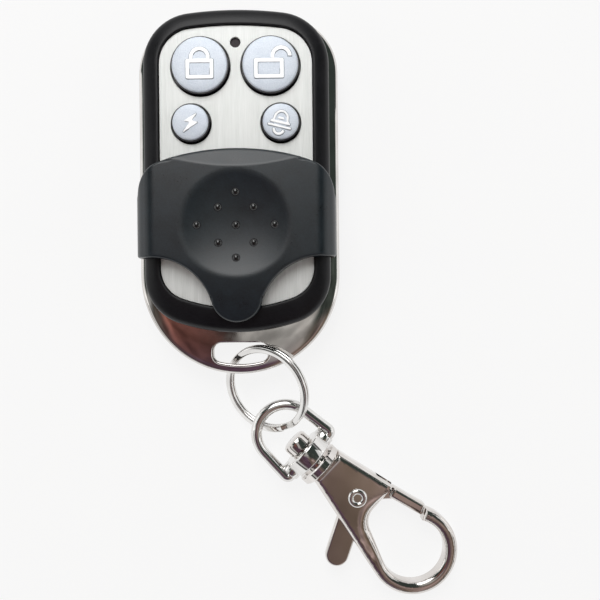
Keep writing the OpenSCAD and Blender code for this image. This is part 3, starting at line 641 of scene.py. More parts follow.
def clothe_frame():
    """Materials of the CAD nodes that stay in view or inside."""
    wear = {
        "case_screws": SCREW_STEEL, "circuit_board": BOARD_GREEN, "switch_bodies": SWITCH_GREY,
        "indicator_led": LED_RED, "light_pipe": SMOKED, "encoder_chip": CHIP_BLACK,
        "resonator": CAN_STEEL, "battery": CELL_WRAP, "battery_plate": CONTACT,
        "battery_spring": CONTACT, "lever_spring": SPRING_STEEL,
    }
    for key in KEYS:
        wear[key + "_key"] = KEY_BLACK
        wear[key + "_plunger"] = PLUNGER
    for node, material in wear.items():
        mesh = frame["nodes"][node].data
        mesh.materials.clear()
        mesh.materials.append(material)


# Case pieces

def key_place(key):
    """Middle, radius and top of a key."""
    low, high = mm_box(key + "_cap")
    return (low.x + high.x) / 2, (low.y + high.y) / 2, (high.x - low.x) / 2 + CAP_INSET, high.z


def face_holes():
    low, high = mm_box("light_pipe")
    lamp = circle(((low.x + high.x) / 2, (low.y + high.y) / 2), LAMP_R)
    return [circle((x, y), r + HOLE_GAP, 72) for x, y, r, z in map(key_place, KEYS)] + [lamp]


def with_rebate(ring):
    """Sinks the straight sides of a ring where the cover's lip runs."""
    low, high = REBATE_Y
    side = SHELL_HIGH.x - SIDE_ROOM
    inner = SHELL_HIGH.x - REBATE_DEPTH
    return [(copysign(inner, x) if abs(x) > side and low < y < high else x, y, z) for x, y, z in ring]


def build_shell():
    """Wall with rebates, rim that rises to the plate, deck below it, and plate."""
    foot = FRAME_HIGH.z
    top = SHELL_HIGH.z
    slope_steps = 10
    outer = quarter(top - RIM_FALL, RIM_R, True)[:-2]
    shoulder, inset = outer[-1]
    start = case_line(inset)
    crest = plate_line(-CREST_GAP)
    lip = ((top - LIP_FALLS[0], LIP_GAP), (top - LIP_FALLS[1], PLATE_FIT), (PLATE_HIGH.z, PLATE_FIT),
           (PLATE_LOW.z, PLATE_FIT))
    rings = [level(case_line(SHELL_WALL), foot)]
    rings += [with_rebate(level(case_line(), z)) for z in (foot, foot + REBATE_H)]
    rings += [level(case_line(), foot + REBATE_H + REBATE_STEP)]
    rings += [level(case_line(inset), z) for z, inset in outer]
    for i in range(1, slope_steps + 1):
        share = i / slope_steps
        z = top - (top - shoulder) * (1 - share) ** RIM_CURVE
        rings.append(level(between(start, crest, share), z))
    rings += [level(plate_line(-gap), z) for z, gap in lip]
    rim = loft("shell_rim", rings)
    deck = plate("shell_deck", plate_line(-PLATE_FIT), face_holes(), PLATE_LOW.z - DECK_T, PLATE_LOW.z)
    dress(join("shell", rim, deck), "fob", SHELL_BLACK, "shell_black", "front_shell")
    face = plate("plate", plate_line(), face_holes(), PLATE_LOW.z, PLATE_HIGH.z, PLATE_EDGE)
    dress(face, "fob", BRUSHED, "brushed_plate", "face_plate")


def build_frame():
    """A ledge round case and tongue, with a round outer edge and a top that falls towards it."""
    inside = ray_line(case_line(FRAME_INSIDE))
    edge = (TONGUE_T - FRAME_FALL) / 2
    crest = FRAME_HIGH.z - FRAME_FALL
    edge_steps = 8
    top_steps = 14
    rings = [level(inside, TONGUE_LOW)]
    for i in range(edge_steps + 1):
        turn = pi * i / edge_steps
        outline = frame_line(edge * (1 - sin(turn)))
        rings.append(level(ray_line(outline), crest - edge - edge * cos(turn)))
    shoulder = ray_line(frame_line(edge))
    for i in range(1, top_steps + 1):
        share = i / top_steps
        rings.append(level(between(shoulder, inside, share), FRAME_HIGH.z - FRAME_FALL * (1 - share) ** 2))
    rim_line = slot_line(-SLOT_RIM / 2)
    hole = plate("slot_hole", rim_line, [], TONGUE_LOW - 1, FRAME_HIGH.z + 1)
    top = cut(loft("frame_top", rings, closed=True), hole)
    rim_h = TONGUE_T - SLOT_RIM_LESS
    rim_place = Matrix.Translation((0, 0, TONGUE_LOW + SLOT_RIM_LIFT + rim_h / 2))
    section = round_section(SLOT_RIM, rim_h, SLOT_RIM * SLOT_RIM_ROUND)
    rim = sweep("slot_rim", rim_line, section, rim_place, closed=True)
    band = loft("frame_band", [level(case_line(FRAME_INSIDE), FRAME_LOW.z), level(rear_line(), FRAME_LOW.z),
                               level(rear_line(), TONGUE_LOW + edge)])
    dress(join("frame", top, rim, band), "fob", CHROME, "frame_chrome", "chrome_frame")


def build_rear():
    """A wall with a round lower edge, and a floor with holes for the screws."""
    top = REAR_HIGH.z
    rings = [level(rear_line(REAR_ROUND), top), level(rear_line(), top)]
    rings += [level(rear_line(inset), z) for z, inset in quarter(0, REAR_ROUND, False)]
    wall = loft("rear_wall", rings)
    holes = [circle((side * x, y), SCREW_HOLE_R) for x, y in SCREWS for side in (-1, 1)]
    floor = plate("rear_floor", rear_line(REAR_ROUND), holes, 0, FLOOR_T)
    dress(join("rear", wall, floor), "fob", REAR_BLACK, "shell_black", "rear_cover")


# Keys; a sign is a list of outlines, each with its holes

def box_line(left, low, right, high, r):
    return rounded(((left, low, r), (right, low, r), (right, high, r), (left, high, r)))


def padlock(body, corner, window, middle, r, shut):
    """Body and window from side to side, and a hoop on both legs or on its left one."""
    x = middle[0]
    inner = r - STROKE
    hoop = arc(middle, r, 0, 180, 24) + [(x - r, LOCK_TOP), (x - inner, LOCK_TOP)]
    hoop += arc(middle, inner, 180, 0, 24)
    if shut:
        hoop += [(x + inner, LOCK_TOP), (x + r, LOCK_TOP)]
    outline = box_line(body[0], LOCK_LOW, body[1], LOCK_TOP, corner)
    hole = box_line(window[0], LOCK_LOW + STROKE, window[1], WINDOW_TOP, WINDOW_CORNER)
    return [(outline, [hole]), (hoop, [])]


def bolt():
    corner = 0.1
    zigzag = ((1.25, 1.55), (-1.05, 0.15), (-0.1, -0.05), (-1.4, -1.85), (1.25, -0.05), (0.3, 0.25))
    return [(rounded([(x, y, corner) for x, y in zigzag], 4), [])]


def arched(half, top):
    """Outline from the corners of its left half and its top."""
    return rounded((*half, top, *((-x, y, r) for x, y, r in half[::-1])))


def bell():
    dome = arched(((-1.85, -0.4, 0.15), (-1.2, 0.1, 0.5), (-1.1, 1.0, 0.9)), (0.0, 2.15, 1.0))
    hollow = arched(((-0.95, 0.0, 0.1), (-0.7, 0.95, 0.6)), (0.0, 1.65, 0.7))
    rim = box_line(-1.8, -1.0, 1.8, -0.65, 0.12)
    tongue = rounded(((-0.5, 0.25, 0.1), (0.5, 0.25, 0.1), (0.4, 0.6, 0.1), (-0.4, 0.6, 0.1)))
    middle = (0, -1.25)
    clapper = arc(middle, 0.95, 185, 355, 16) + arc(middle, 0.55, 355, 185, 12)
    return [(dome, [hollow]), (rim, []), (tongue, []), (clapper, [])]


# Each key's sign, and its tilt in degrees
SIGNS = {
    "lock": (padlock((-2.1, 2.15), 0.3, (-1.53, 1.58), (0.03, 1.05), 1.58, True), 0),
    "unlock": (padlock((-2.45, 2.08), 0.25, (-1.88, 1.5), (1.68, 1.1), 1.6, False), 0),
    "flash": (bolt(), 0),
    "bell": (bell(), -14),
}


def build_key(key):
    """A crowned cap with a raised sign, and a thin grey border of painted shade round the sign."""
    x, y, r, top = key_place(key)
    body = key + "_button"
    cap_t = top - mm_box(key + "_cap")[0].z
    r -= CAP_INSET
    profile = [(AXIS_R, top), (r / 3, top - CAP_CROWN / 9), (2 * r / 3, top - CAP_CROWN * 4 / 9)]
    profile += [(r - inset, z - CAP_CROWN) for z, inset in quarter(top, cap_t / 2, True, 5)][::-1]
    profile += [(r, top - cap_t), (AXIS_R, top - cap_t)]
    cap = lathe(key + "_disc", profile, Matrix.Translation((x, y, 0)))
    dress(cap, body, CAP_SILVER, "cap_silver", key + "_cap")
    lines, tilt = SIGNS[key]
    place = Matrix.Translation((x, y, top)) @ Matrix.Rotation(radians(tilt), 4, "Z")
    low = -SIGN_SINK - CAP_CROWN
    # The second look is a low grey band of painted shade round the sign's strokes.
    looks = (("_sign", SIGN_WHITE, SIGN_H, SIGN_EDGE, 0.0),
             ("_sign_painted_shade", SIGN_SHADE_GREY, SIGN_H / 4, SHADE_BORDER_EDGE, SIGN_SHADE_BORDER))
    for ending, material, high, edge, grow in looks:
        parts = [plate("stroke", line, holes, low, high - CAP_CROWN, edge, place, grow)
                 for line, holes in lines]
        dress(join(key + ending, *parts), body, material, "cap_silver")


# Slide cover: two cuts leave a round tip between them, and arcs round off the upper corners.
COVER_HALF = COVER_HIGH.x
TIP_Y = COVER_LOW.y
CUT_Y = TIP_Y + CUT_TOP_IN - CUT_R
CUT_RISE = CUT_Y - TIP_Y
TIP_R = (CUT_X ** 2 + CUT_RISE ** 2 - CUT_R ** 2) / (2 * (CUT_R + CUT_RISE))
TIP_C = TIP_Y + TIP_R
TIP_TURN = atan2(CUT_X, TIP_C - CUT_Y)
SKIRT_END = CUT_Y + CUT_R
EDGE_C = COVER_HIGH.y - COVER_EDGE_R
CORNER_X = COVER_HALF - COVER_EDGE_CORNER
CORNER_Y = EDGE_C + sqrt((COVER_EDGE_R - COVER_EDGE_CORNER) ** 2 - CORNER_X ** 2)
CORNER_FROM = CORNER_X * COVER_EDGE_R / (COVER_EDGE_R - COVER_EDGE_CORNER)


def cover_top_y(x):
    x = abs(x)
    if x <= CORNER_FROM:
        return EDGE_C + sqrt(COVER_EDGE_R ** 2 - x ** 2)
    return CORNER_Y + sqrt(max(0.0, COVER_EDGE_CORNER ** 2 - (x - CORNER_X) ** 2))


def cover_low_y(x):
    x = abs(x)
    if x <= TIP_R * sin(TIP_TURN):
        return TIP_C - sqrt(max(0.0, TIP_R ** 2 - x ** 2))
    if x < CUT_X:
        return CUT_Y + sqrt(max(0.0, CUT_R ** 2 - (CUT_X - x) ** 2))
    return SKIRT_END


def cover_inside(x, y):
    """Distance from a point of the roof to the cover's outline."""
    x = abs(x)
    gaps = [COVER_EDGE_R - hypot(x, y - EDGE_C), hypot(x - CUT_X, y - CUT_Y) - CUT_R]
    if x > CORNER_X and y > CORNER_Y:
        gaps.append(COVER_EDGE_CORNER - hypot(x - CORNER_X, y - CORNER_Y))
    if x > CUT_X:
        gaps.append(y - SKIRT_END)
    if y < TIP_C:
        gaps.append(TIP_R - hypot(x, y - TIP_C) if x < TIP_R else 0.0)
    return max(0.0, min(gaps))


def soft_min(a, b, k):
    """The smaller of two numbers, blended where they are closer than k."""
    h = max(k - abs(a - b), 0.0) / k
    return min(a, b) - h * h * k / 4


def cover_height(x, y):
    """Top of the roof: the nose's fall, the thumb dish and the scoop at the upper edge."""
    top = COVER_HIGH.z
    z = top
    if y < SKIRT_END:
        z = top - NOSE_R + sqrt(NOSE_R ** 2 - (y - SKIRT_END) ** 2)
    sphere = (DISH_R ** 2 + DISH_DEPTH ** 2) / (2 * DISH_DEPTH)
    out = hypot(x, y - DISH_Y)
    dish = top - DISH_DEPTH + sphere - sqrt(max(0.0, sphere ** 2 - out ** 2))
    drop = SCOOP_R / tan(SCOOP_SLOPE)
    reach = x ** 2 + (y - COVER_HIGH.y + SCOOP_IN - SCOOP_R) ** 2
    scoop = top + drop - sqrt(SCOOP_R ** 2 + drop ** 2 - reach)
    return soft_min(soft_min(z, dish, DISH_BLEND), scoop, SCOOP_BLEND)


def cover_columns():
    """Places across the cover, from one skirt's foot to the other's: (x, tilt, fall)."""
    tip_steps = 26
    cut_steps = 40
    bend_steps = 12
    skirt_steps = 8
    least = 0.05
    columns = [(TIP_R * sin(TIP_TURN * i / tip_steps), 0.0, 0.0) for i in range(tip_steps + 1)]
    start = pi / 2 - TIP_TURN
    turns = [start + (pi / 2 - start) * i / cut_steps for i in range(1, cut_steps + 1)]
    flat = COVER_HALF - SHOULDER_R
    edges = [CUT_X - CUT_R * cos(t) for t in turns]
    columns += [(x, 0.0, 0.0) for x in edges if x < flat - least]
    bends = [pi / 2 * i / bend_steps for i in range(bend_steps + 1)]
    columns += [(flat + SHOULDER_R * sin(t), t, SHOULDER_R * (1 - cos(t))) for t in bends]
    reach = COVER_HIGH.z - SHOULDER_R - COVER_LOW.z
    falls = [SHOULDER_R + reach * i / skirt_steps for i in range(1, skirt_steps + 1)]
    columns += [(COVER_HALF, pi / 2, fall) for fall in falls]
    mirrored = [(-x, -tilt, fall) for x, tilt, fall in columns[:0:-1]]
    return mirrored + columns


def cover_rows():
    """Shares of the way from the lower edge to the upper one, closer at both ends."""
    steps = 150
    near = [i * (i + 3) / 2000 for i in range(7)]
    start = near.pop()
    middle = [start + (1 - 2 * start) * i / steps for i in range(steps + 1)]
    return near + middle + [1 - share for share in near[::-1]]


def cover_outer(x, tilt, fall, y):
    drop = 0.0
    inside = cover_inside(x, y)
    if inside < COVER_ROUND:
        drop = COVER_ROUND - sqrt(COVER_ROUND ** 2 - (COVER_ROUND - inside) ** 2)
    drop = min(drop, SKIRT_ROUND) if tilt else drop
    z = cover_height(x, y) - fall
    return x - sin(tilt) * drop, y, z - cos(tilt) * drop


def cover_inner(x, tilt, fall, y):
    inner_r = SHOULDER_R - SHOULDER_T
    inner_half = COVER_HALF - SKIRT_T
    if abs(tilt) < TINY:
        return x * (inner_half - inner_r) / (COVER_HALF - SHOULDER_R), y, ROOF_Z
    foot = COVER_LOW.z
    side = copysign(inner_half - inner_r, x) + inner_r * sin(tilt)
    z = ROOF_Z - inner_r * (1 - cos(tilt))
    share = max(0.0, fall - SHOULDER_R) / (COVER_HIGH.z - SHOULDER_R - foot)
    return side, y, z + (foot - z) * share


def build_cover():
    """An outer and an inner grid of points, joined round their edges."""
    columns = cover_columns()
    rows = cover_rows()
    outer, inner = [], []
    for x, tilt, fall in columns:
        low, high = cover_low_y(x), cover_top_y(x)
        ys = [low + (high - low) * share for share in rows]
        outer.append([cover_outer(x, tilt, fall, y) for y in ys])
        inner.append([cover_inner(x, tilt, fall, y) for y in ys])
    n = len(rows)
    size = n * len(columns)
    faces = []
    for i in range(len(columns) - 1):
        for k in range(n - 1):
            a = i * n + k
            faces.append((a, a + n, a + n + 1, a + 1))
            faces.append((size + a, size + a + 1, size + a + n + 1, size + a + n))
        for a in (i * n, i * n + n - 1):
            faces.append((a, a + n, size + a + n, size + a))
    for column in (0, len(columns) - 1):
        for k in range(n - 1):
            a = column * n + k
            faces.append((a, a + 1, size + a + 1, size + a))
    points = [p for line in outer + inner for p in line]
    cover = finish_mesh("cover_shell", raw_mesh("cover_shell", points, faces), sharp=40)
    dress(cover, "cover", COVER_BLACK, "cover_black", "slide_cover")


def build_bumps():
    """Low domes in the dish: in the middle, on the axes and on the slants."""
    spots = [(0, 0), (BUMP_X, 0), (-BUMP_X, 0), (0, BUMP_Y), (0, -BUMP_Y)]
    slant = (BUMP_SLANT, -BUMP_SLANT)
    spots += [(x, y) for y in slant for x in slant]
    dome_steps = 8
    dome_r = (BUMP_R ** 2 + BUMP_H ** 2) / (2 * BUMP_H)
    edge = asin(BUMP_R / dome_r)
    turns = [edge * i / dome_steps for i in range(dome_steps, 0, -1)]
    profile = [(BUMP_R, -BUMP_FOOT)]
    profile += [(dome_r * sin(t), BUMP_H - dome_r * (1 - cos(t))) for t in turns]
    profile += [(AXIS_R, BUMP_H)]
    domes = []
    for x, y in spots:
        place = Matrix.Translation((x, DISH_Y + y, cover_height(x, DISH_Y + y)))
        domes.append(lathe("bump", profile, place, steps=24, sharp=50))
    dress(join("grip_bumps", *domes), "cover", BUMP_BLACK, "cover_black")


# Key ring, swivel eye and clasp

def swivel_place():
    """Columns u, v and w, from the axes of the swivel and of the lever."""
    u = Vector(JOINTS["clasp_swivel"]["axis"]).normalized()
    w = -Vector(JOINTS["lever_open"]["axis"]).normalized()
    v = w.cross(u).normalized()
    start = Vector(JOINTS["clasp_swivel"]["pos_m"]) / MM
    return Matrix.Translation(start) @ Matrix((u, v, w)).transposed().to_4x4()


# ALONG_U stands a turned shape on u.
SWIVEL = swivel_place()
ALONG_U = SWIVEL @ Matrix(((0, 0, 1, 0), (1, 0, 0, 0), (0, 1, 0, 0), (0, 0, 0, 1)))


def build_ring():
    """Two turns of one wire, which climbs from one to the other between its ends."""
    start = 200
    climb = 26
    end_gap = 3
    steps = 480
    reach = 720 - climb - 2 * end_gap
    path, heights = [], []
    for i in range(steps + 1):
        turn = reach * i / steps
        share = min(1.0, max(0.0, (turn - 360 + climb + end_gap) / climb))
        heights.append(RING_STEP * (2 * share * share * (3 - 2 * share) - 1))
        angle = radians(start + turn)
        path.append((RING_R * cos(angle), RING_R * sin(angle)))
    section = round_section(*RING_WIRE, RING_CORNER)
    lean = Matrix.Rotation(RING_TURN, 4, "Z") @ Matrix.Rotation(RING_LEAN, 4, "X")
    place = Matrix.Translation((RING_LOW + RING_HIGH) / 2) @ lean
    ring = sweep("split_ring", path, section, place, heights=heights, sharp=50)
    dress(ring, "ring", NICKEL, "ring_nickel", "key_ring")


def build_eye():
    """A wire loop, the collar on its straight base, and a boss on each side."""
    splay = degrees(EYE_SPLAY)
    leg_steps = 6
    round_end = arc((EYE_ARC_U, 0), EYE_R, 90 + splay, 270 - splay, 48)
    first = round_end[0]
    foot_v = first[1] + (EYE_BASE - first[0]) * tan(EYE_SPLAY)
    feet = ((first[0], -first[1], 0), (EYE_BASE, -foot_v, EYE_CORNER), (EYE_BASE, foot_v, EYE_CORNER),
            (first[0], first[1], 0))
    base = rounded(feet, 8)
    path = round_end + along(base[0], base[1], leg_steps)
    path += base[1:-1] + along(base[-2], base[-1], leg_steps)
    loop = sweep("eye_loop", path, circle((0, 0), EYE_WIRE_R, 20), SWIVEL, closed=True)
    low, high = COLLAR_U
    outer = [(COLLAR_R - inset, u) for u, inset in quarter(low, COLLAR_EDGE, False, 4)][::-1]
    outer += [(COLLAR_R - inset, u) for u, inset in quarter(high, COLLAR_EDGE, True, 4)]
    mouth = COLLAR_BORE + BORE_BEVEL
    profile = [(COLLAR_BORE, low + BORE_BEVEL), (mouth, low)] + outer
    profile += [(mouth, high), (COLLAR_BORE, high - BORE_BEVEL)]
    parts = [loop, lathe("eye_collar", profile, ALONG_U, closed=True)]
    foot, shoulder, top = BOSS_LEVELS
    boss = ((AXIS_R, foot), (BOSS_R, foot), (BOSS_R, shoulder), (BOSS_R - BOSS_BEVEL, top), (AXIS_R, top))
    middle = SWIVEL @ Matrix.Translation(((low + high) / 2, 0, 0))
    for turn in (-90, 90):
        place = middle @ Matrix.Rotation(radians(turn), 4, "X")
        parts.append(lathe("eye_boss", boss, place, steps=32))
    dress(join("eye", *parts), "eye", NICKEL, "clasp_nickel", "swivel_eye")


def touch_angle(reach, r):
    """Turn, in degrees, of a line that starts along reach and ends r to its side."""
    return degrees(atan2(reach[1], reach[0]) + asin(r / hypot(*reach)))


def hook_tip():
    """Turn, in degrees, of the hook's end, which leaves a gap to the gate."""
    return degrees(acos((GATE_TIP[0] + GATE_W / 2 + GATE_GAP - HOOK[0]) / HOOK_R))


def clasp_line():
    """Right cheek, inside of the throat and the hook, and back outside to the neck."""
    throat_u, throat_v, throat_r = THROAT
    far = HOOK[0] - NECK[0]
    left = touch_angle((far, -NECK[1]), -HOOK_R)
    right = touch_angle((far, -NECK[2]), HOOK_R)
    tip = hook_tip()
    inner_left = touch_angle((HOOK[0] - throat_u, -throat_v), throat_r - HOOK_INNER_R) - 90
    cheek_u = GATE_HEEL[0] - GATE_W / 2 - GATE_GAP
    cheek_v = NECK[2] + (cheek_u - NECK[0]) * tan(radians(right))
    cheek = ((NECK[0], NECK[2], 0), (cheek_u, cheek_v, CHEEK_ROUND),
             (cheek_u, throat_v + CHEEK_FOOT, CHEEK_FOOT_ROUND))
    # The last two corners give the one before them its direction and are left out.
    guide = ((cheek_u + 0.1, throat_v + 0.3, 0), (*HOOK, 0))
    line = rounded(cheek + guide, 4)[:-len(guide)]
    line += arc((throat_u, throat_v), throat_r, THROAT_FROM, inner_left + 360, 14)
    line += arc(HOOK, HOOK_INNER_R, inner_left, tip, 56)
    line += arc(HOOK, HOOK_R - HOOK_FIT, tip, left - 90, 56)
    return line + [NECK[:2]]


def lever_slots():
    """Room in the body for the lever's hub, its tab and its gate as they turn."""
    reach = 14
    side = TAB_W / 2 + LEVER_ROOM
    shut = atan2(TAB_END[1] - RIVET[1], TAB_END[0] - RIVET[0])
    opened = shut - radians(JOINTS["lever_open"]["range_deg"][1])
    corners = []
    for turn, sign in ((shut, 1), (opened, -1)):
        across = Vector((-sin(turn), cos(turn))) * side * sign
        ahead = Vector((cos(turn), sin(turn))) * reach
        corners += [across, across + ahead] if sign > 0 else [across + ahead, across]
    gate = ((-HUB_R / 2, 0), (0, -HUB_R), (reach / 2, -HUB_R), (reach / 2, reach), (HUB_R, reach))
    lines = [circle(RIVET, HUB_R + LEVER_ROOM)]
    lines += [[(RIVET[0] + x, RIVET[1] + y) for x, y in line] for line in (corners, gate)]
    return [plate("slot", line, [], -LEVER_SLOT / 2, LEVER_SLOT / 2) for line in lines]


def loop_distance(u, v):
    """Distance out from the hook's opening, which two circles and their tangents bound."""
    throat = Vector(THROAT[:2])
    throat_r = THROAT[2]
    span = Vector(HOOK) - throat
    far = span.length
    ahead = span / far
    spot = Vector((u, v)) - throat
    on = spot.dot(ahead)
    off = abs(spot.cross(ahead))
    lean = (throat_r - HOOK_INNER_R) / far
    flat = sqrt(1 - lean * lean)
    share = flat * on - lean * off
    if share < 0:
        return hypot(off, on) - throat_r
    if share > flat * far:
        return hypot(off, on - far) - HOOK_INNER_R
    return flat * off + lean * on - throat_r


def soften(mesh):
    """Thins the hook and rounds the body off towards the opening, on a grid of fine faces."""
    work = bmesh.new()
    work.from_mesh(mesh)
    bmesh.ops.remove_doubles(work, verts=work.verts, dist=WELD)
    bmesh.ops.triangulate(work, faces=work.faces)
    spacing = 0.4
    for axis, start, end in (((1, 0, 0), NECK[0], HOOK[0]), ((0, 1, 0), -HOOK_R, HOOK_R)):
        for i in range(1, int((end - start) / spacing)):
            spot = Vector(axis) * (start + spacing * i)
            geometry = work.verts[:] + work.edges[:] + work.faces[:]
            bmesh.ops.bisect_plane(work, geom=geometry, dist=TINY, plane_co=spot, plane_no=axis)
    foot = LEVER_SLOT / 2
    thin = (CLASP_T - HOOK_T) / (CLASP_T - LEVER_SLOT)
    first = GATE_HEEL[0]
    reach = HOOK[0] - HOOK_R / 2 - first
    round_w = 1.9
    round_h = 0.7
    for vertex in work.verts:
        u, v, w = vertex.co
        if abs(w) <= foot:
            continue
        share = min(1.0, max(0.0, (u - first) / reach))
        keep = 1 - thin * share * share * (3 - 2 * share)
        near = 1 - min(1.0, max(0.0, loop_distance(u, v) / round_w))
        keep *= 1 - round_h * (1 - sqrt(1 - near * near)) * (1 - share)
        vertex.co.z = copysign(foot + (abs(w) - foot) * keep, w)
    work.to_mesh(mesh)
    work.free()


def clasp_stud():
    """A headed stud that turns in the collar, and the stepped flange below it."""
    head, neck = STUD_U
    low, high = FLANGE_U
    dome = 0.5
    dome_cut = 0.15
    nick = 0.1
    step = 0.4
    bevel = 0.25
    rim = FLANGE_R - 1
    profile = [(AXIS_R, head), (STUD_HEAD_R - dome, head), (STUD_HEAD_R - dome_cut, head + dome_cut),
               (STUD_HEAD_R, head + dome), (STUD_HEAD_R, neck - nick), (STUD_HEAD_R - nick, neck),
               (STUD_R, neck), (STUD_R, low), (rim, low), (rim, low + step),
               (FLANGE_R - bevel, low + step), (FLANGE_R, low + step + bevel), (FLANGE_R, high - bevel),
               (FLANGE_R - bevel, high), (rim, high + step), (AXIS_R, high + step)]
    return lathe("clasp_stud", profile, ALONG_U)


def build_clasp():
    mesh = plate_mesh("clasp_plate", clasp_line(), [], -CLASP_T / 2, CLASP_T / 2, CLASP_EDGE)
    blank = cut(finish_mesh("clasp_blank", mesh), *lever_slots())
    mesh = blank.data
    bpy.data.objects.remove(blank)
    mesh.transform(Matrix.Scale(1 / MM, 4))
    soften(mesh)
    body = finish_mesh("clasp_plate", mesh, SWIVEL)
    dress(join("clasp", body, clasp_stud()), "clasp", CLASP_NICKEL, "clasp_nickel", "clasp_body")


def build_rivet():
    """A rivet with a dished head on each face."""
    face = CLASP_T / 2
    dish = face + 0.1
    dish_r = 0.65
    head = ((AXIS_R, dish), (dish_r, dish), (RIVET_R, face + 0.3), (RIVET_HEAD_R - 0.35, face + 0.35),
            (RIVET_HEAD_R - 0.08, face + 0.22), (RIVET_HEAD_R, face), (RIVET_R, face))
    profile = list(head) + [(r, -w) for r, w in head[::-1]]
    rivet = lathe("rivet", profile, SWIVEL @ Matrix.Translation((*RIVET, 0)), sharp=50)
    dress(rivet, "clasp", NICKEL, "clasp_nickel", "clasp_rivet")


def gate_line():
    """A bar from its heel to an end that runs along the hook's end."""
    heel = Vector(GATE_HEEL)
    ahead = (Vector(GATE_TIP) - heel).normalized()
    side = Vector((-ahead.y, ahead.x)) * GATE_W / 2
    turn = radians(hook_tip()) + GATE_GAP / (HOOK_R - HOOK_LIMB / 2)
    ray = Vector((cos(turn), sin(turn)))
    tip_round = 0.2
    corners = []
    for edge, heel_round in ((side, 0.25), (-side, 0.5)):
        start = heel + edge - ahead * GATE_W / 2
        reach = (Vector(HOOK) - start).cross(ray) / ahead.cross(ray)
        pair = [(*start, heel_round), (*(start + ahead * reach), tip_round)]
        corners += pair if edge is side else pair[::-1]
    return rounded(corners)


def build_lever():
    """Tab, arm and hub from one sheet, and a thicker gate."""
    half = LEVER_T / 2
    sheet = (("lever_tab", link_line(RIVET, TAB_END, TAB_W / 2)),
             ("lever_arm", link_line(RIVET, GATE_HEEL, GATE_W / 2 - ARM_LESS)),
             ("lever_hub", circle(RIVET, HUB_R)))
    parts = [plate(name, line, [], -half, half, LEVER_EDGE, SWIVEL) for name, line in sheet]
    parts.append(plate("lever_gate", gate_line(), [], -GATE_T / 2, GATE_T / 2, GATE_EDGE, SWIVEL))
    dress(join("lever", *parts), "lever", CLASP_NICKEL, "clasp_nickel", "clasp_lever")


# Stage, in metres: the floor glows by GLOW_SHARE over GLOW_REACH; a lamp has a place, sides and power.
FLOOR_HALF = 3.0
FLOOR_Z = -0.00002
GLOW_REACH = (0.05, 0.35)
GLOW_SHARE = (0.84, 1.0)
LAMPS = (
    ("key", (-0.03, 0.19, 0.29), (0.2, 0.24), 0.55),
    ("left", (-0.3, 0.02, 0.18), (0.2, 0.2), 0.09),
    ("right", (0.32, 0.0, 0.2), (0.2, 0.2), 0.09),
)
CAMERA_SPOT = Vector((9.57, -20.1, 130.0)) * MM
CAMERA_TURN = radians(-0.6)
SENSOR_W = 36
FOCAL_PIXELS = 774
PICTURE_PIXELS = 600
CLIP_START = 0.005

# World: ramps of the walls by height and of the room from side to side, and ranges of directions.
WALLS = ((0.0, "#ffffff"), (0.35, "#ffffff"), (0.39, "#4c4b4a"), (0.49, "#4c4b4a"), (0.54, "#e6e6e4"),
         (0.85, "#d6d6d4"))
ROOM_BACK = ((0.0, "#3f443f"), (0.16, "#59504a"), (0.26, "#8a5a50"), (0.36, "#6e4a44"), (0.425, "#2b2321"),
             (0.445, "#c4c2be"), (0.6, "#a3a19d"), (0.66, "#3c423e"), (1.0, "#4a504a"))
ROOM_FRONT = ((0.0, "#4a3d37"), (0.5, "#5b4656"), (0.64, "#756659"), (0.72, "#a8938f"), (0.85, "#756659"))
ROOM_X = (-0.6, 0.6)
ROOM_Y = (-0.28, -0.14)
CLUTTER_SCALE = 12.0
CLUTTER_SHADE = (0.5, 1.5)
PATCH_SHIFT = (-0.05, 0.6, 0.0)
PATCH_SCALE = (1.6, 1.89, 0.0)
PATCH = (1.12, 0.88)
SHELF_COLOUR = "#39413d"
SHELF_SHIFT = 0.075
SHELF_X = (0.17, 0.23)
SHELF_Y = (-0.12, -0.02)
SHELF_Z = (0.5, 0.58)


def combine(tree, operation, first, second=0.0):
    return add(tree, "Math", "Value", {0: first, 1: second}, operation=operation)


def length(tree, vector):
    return add(tree, "VectorMath", "Value", {0: vector}, operation="LENGTH")


def mix_colours(tree, share, first, second):
    return add(tree, "Mix", "Result", {"Factor": share, "A": first, "B": second}, data_type="RGBA")


def floor_white():
    """White to the eye and in reflections; near the object, part of it takes light and shadow."""
    material = surface("floor_white", "#f3f3f2", "#f8f8f7", (0.7, 0.8), cell=40)
    tree = material.node_tree
    seen = add(tree, "LightPath", "Is Camera Ray", {})
    for other in ("Is Glossy Ray", "Is Transmission Ray"):
        seen = combine(tree, "MAXIMUM", seen, add(tree, "LightPath", other, {}))
    far = length(tree, add(tree, "TexCoord", "Object", {}))
    share = combine(tree, "MULTIPLY", seen, smooth(tree, far, GLOW_REACH, GLOW_SHARE))
    lit = tree.nodes["Principled BSDF"].outputs["BSDF"]
    glow = add(tree, "Emission", "Emission", {})
    both = add(tree, "MixShader", "Shader", {"Fac": share, 1: lit, 2: glow})
    tree.links.new(both, tree.nodes["Material Output"].inputs["Surface"])
    return material


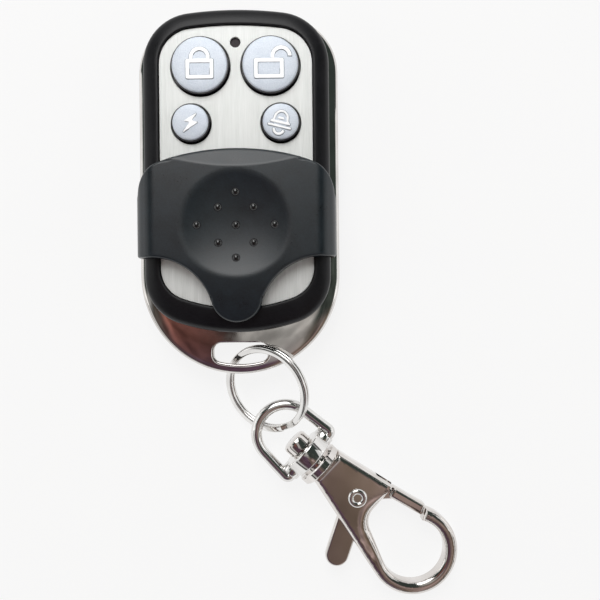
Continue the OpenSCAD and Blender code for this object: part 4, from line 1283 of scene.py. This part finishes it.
def studio_world():
    """Bright walls with a dark shelf on both sides, and above the camera a dim, cluttered room."""
    world = bpy.data.worlds.new("studio")
    world.use_nodes = True
    tree = world.node_tree
    around = add(tree, "TexCoord", "Generated", {})
    x, y, z = (add(tree, "SeparateXYZ", axis, {"Vector": around}) for axis in "XYZ")

    across = remap(tree, x, ROOM_X)
    front = ramp(tree, across, ROOM_FRONT)
    room = mix_colours(tree, remap(tree, y, ROOM_Y), front, ramp(tree, across, ROOM_BACK))
    noise = {"Vector": around, "Scale": CLUTTER_SCALE, "Detail": BROAD_DETAIL}
    clutter = remap(tree, add(tree, "TexNoise", "Fac", noise), NOISE_RANGE, CLUTTER_SHADE)
    room = add(tree, "VectorMath", "Vector", {"Vector": room, "Scale": clutter}, operation="SCALE")

    above = {"Vector": around, "Location": PATCH_SHIFT, "Scale": PATCH_SCALE}
    patch = smooth(tree, length(tree, add(tree, "Mapping", "Vector", above)), PATCH)
    aside = combine(tree, "ABSOLUTE", combine(tree, "ADD", x, SHELF_SHIFT))
    shelf = smooth(tree, aside, SHELF_X)
    for value, limits in ((z, SHELF_Z), (y, SHELF_Y)):
        shelf = combine(tree, "MULTIPLY", shelf, smooth(tree, value, limits))
    walled = mix_colours(tree, shelf, ramp(tree, z, WALLS), linear(SHELF_COLOUR))
    colour = mix_colours(tree, patch, walled, room)
    tree.links.new(colour, tree.nodes["Background"].inputs["Color"])
    return world


def build_stage():
    """Floor, world, lamps that look at the origin, and the camera."""
    scene = bpy.context.scene
    scene.view_settings.view_transform = "Standard"
    corners = [(x * FLOOR_HALF, y * FLOOR_HALF, FLOOR_Z) for x, y in ((-1, -1), (1, -1), (1, 1), (-1, 1))]
    floor = link_piece("floor", raw_mesh("floor", corners, [(0, 1, 2, 3)]))
    floor.data.materials.append(floor_white())
    scene.world = studio_world()

    for name, spot, sides, power in LAMPS:
        light = bpy.data.lights.new(name, "AREA")
        light.shape = "RECTANGLE"
        light.size, light.size_y = sides
        light.energy = power
        lamp = link_piece(name, light)
        lamp.location = spot
        lamp.rotation_euler = (-Vector(spot)).to_track_quat("-Z", "Y").to_euler()

    lens = bpy.data.cameras.new("camera")
    lens.sensor_width = SENSOR_W
    lens.lens = SENSOR_W * FOCAL_PIXELS / PICTURE_PIXELS
    lens.clip_start = CLIP_START
    camera = link_piece("camera", lens)
    camera.location = CAMERA_SPOT
    camera.rotation_euler = (0, 0, CAMERA_TURN)
    scene.camera = camera


clothe_frame()
build_shell()
build_frame()
build_rear()
for name in KEYS:
    build_key(name)
build_cover()
build_bumps()
build_ring()
build_eye()
build_clasp()
build_rivet()
build_lever()
build_stage()
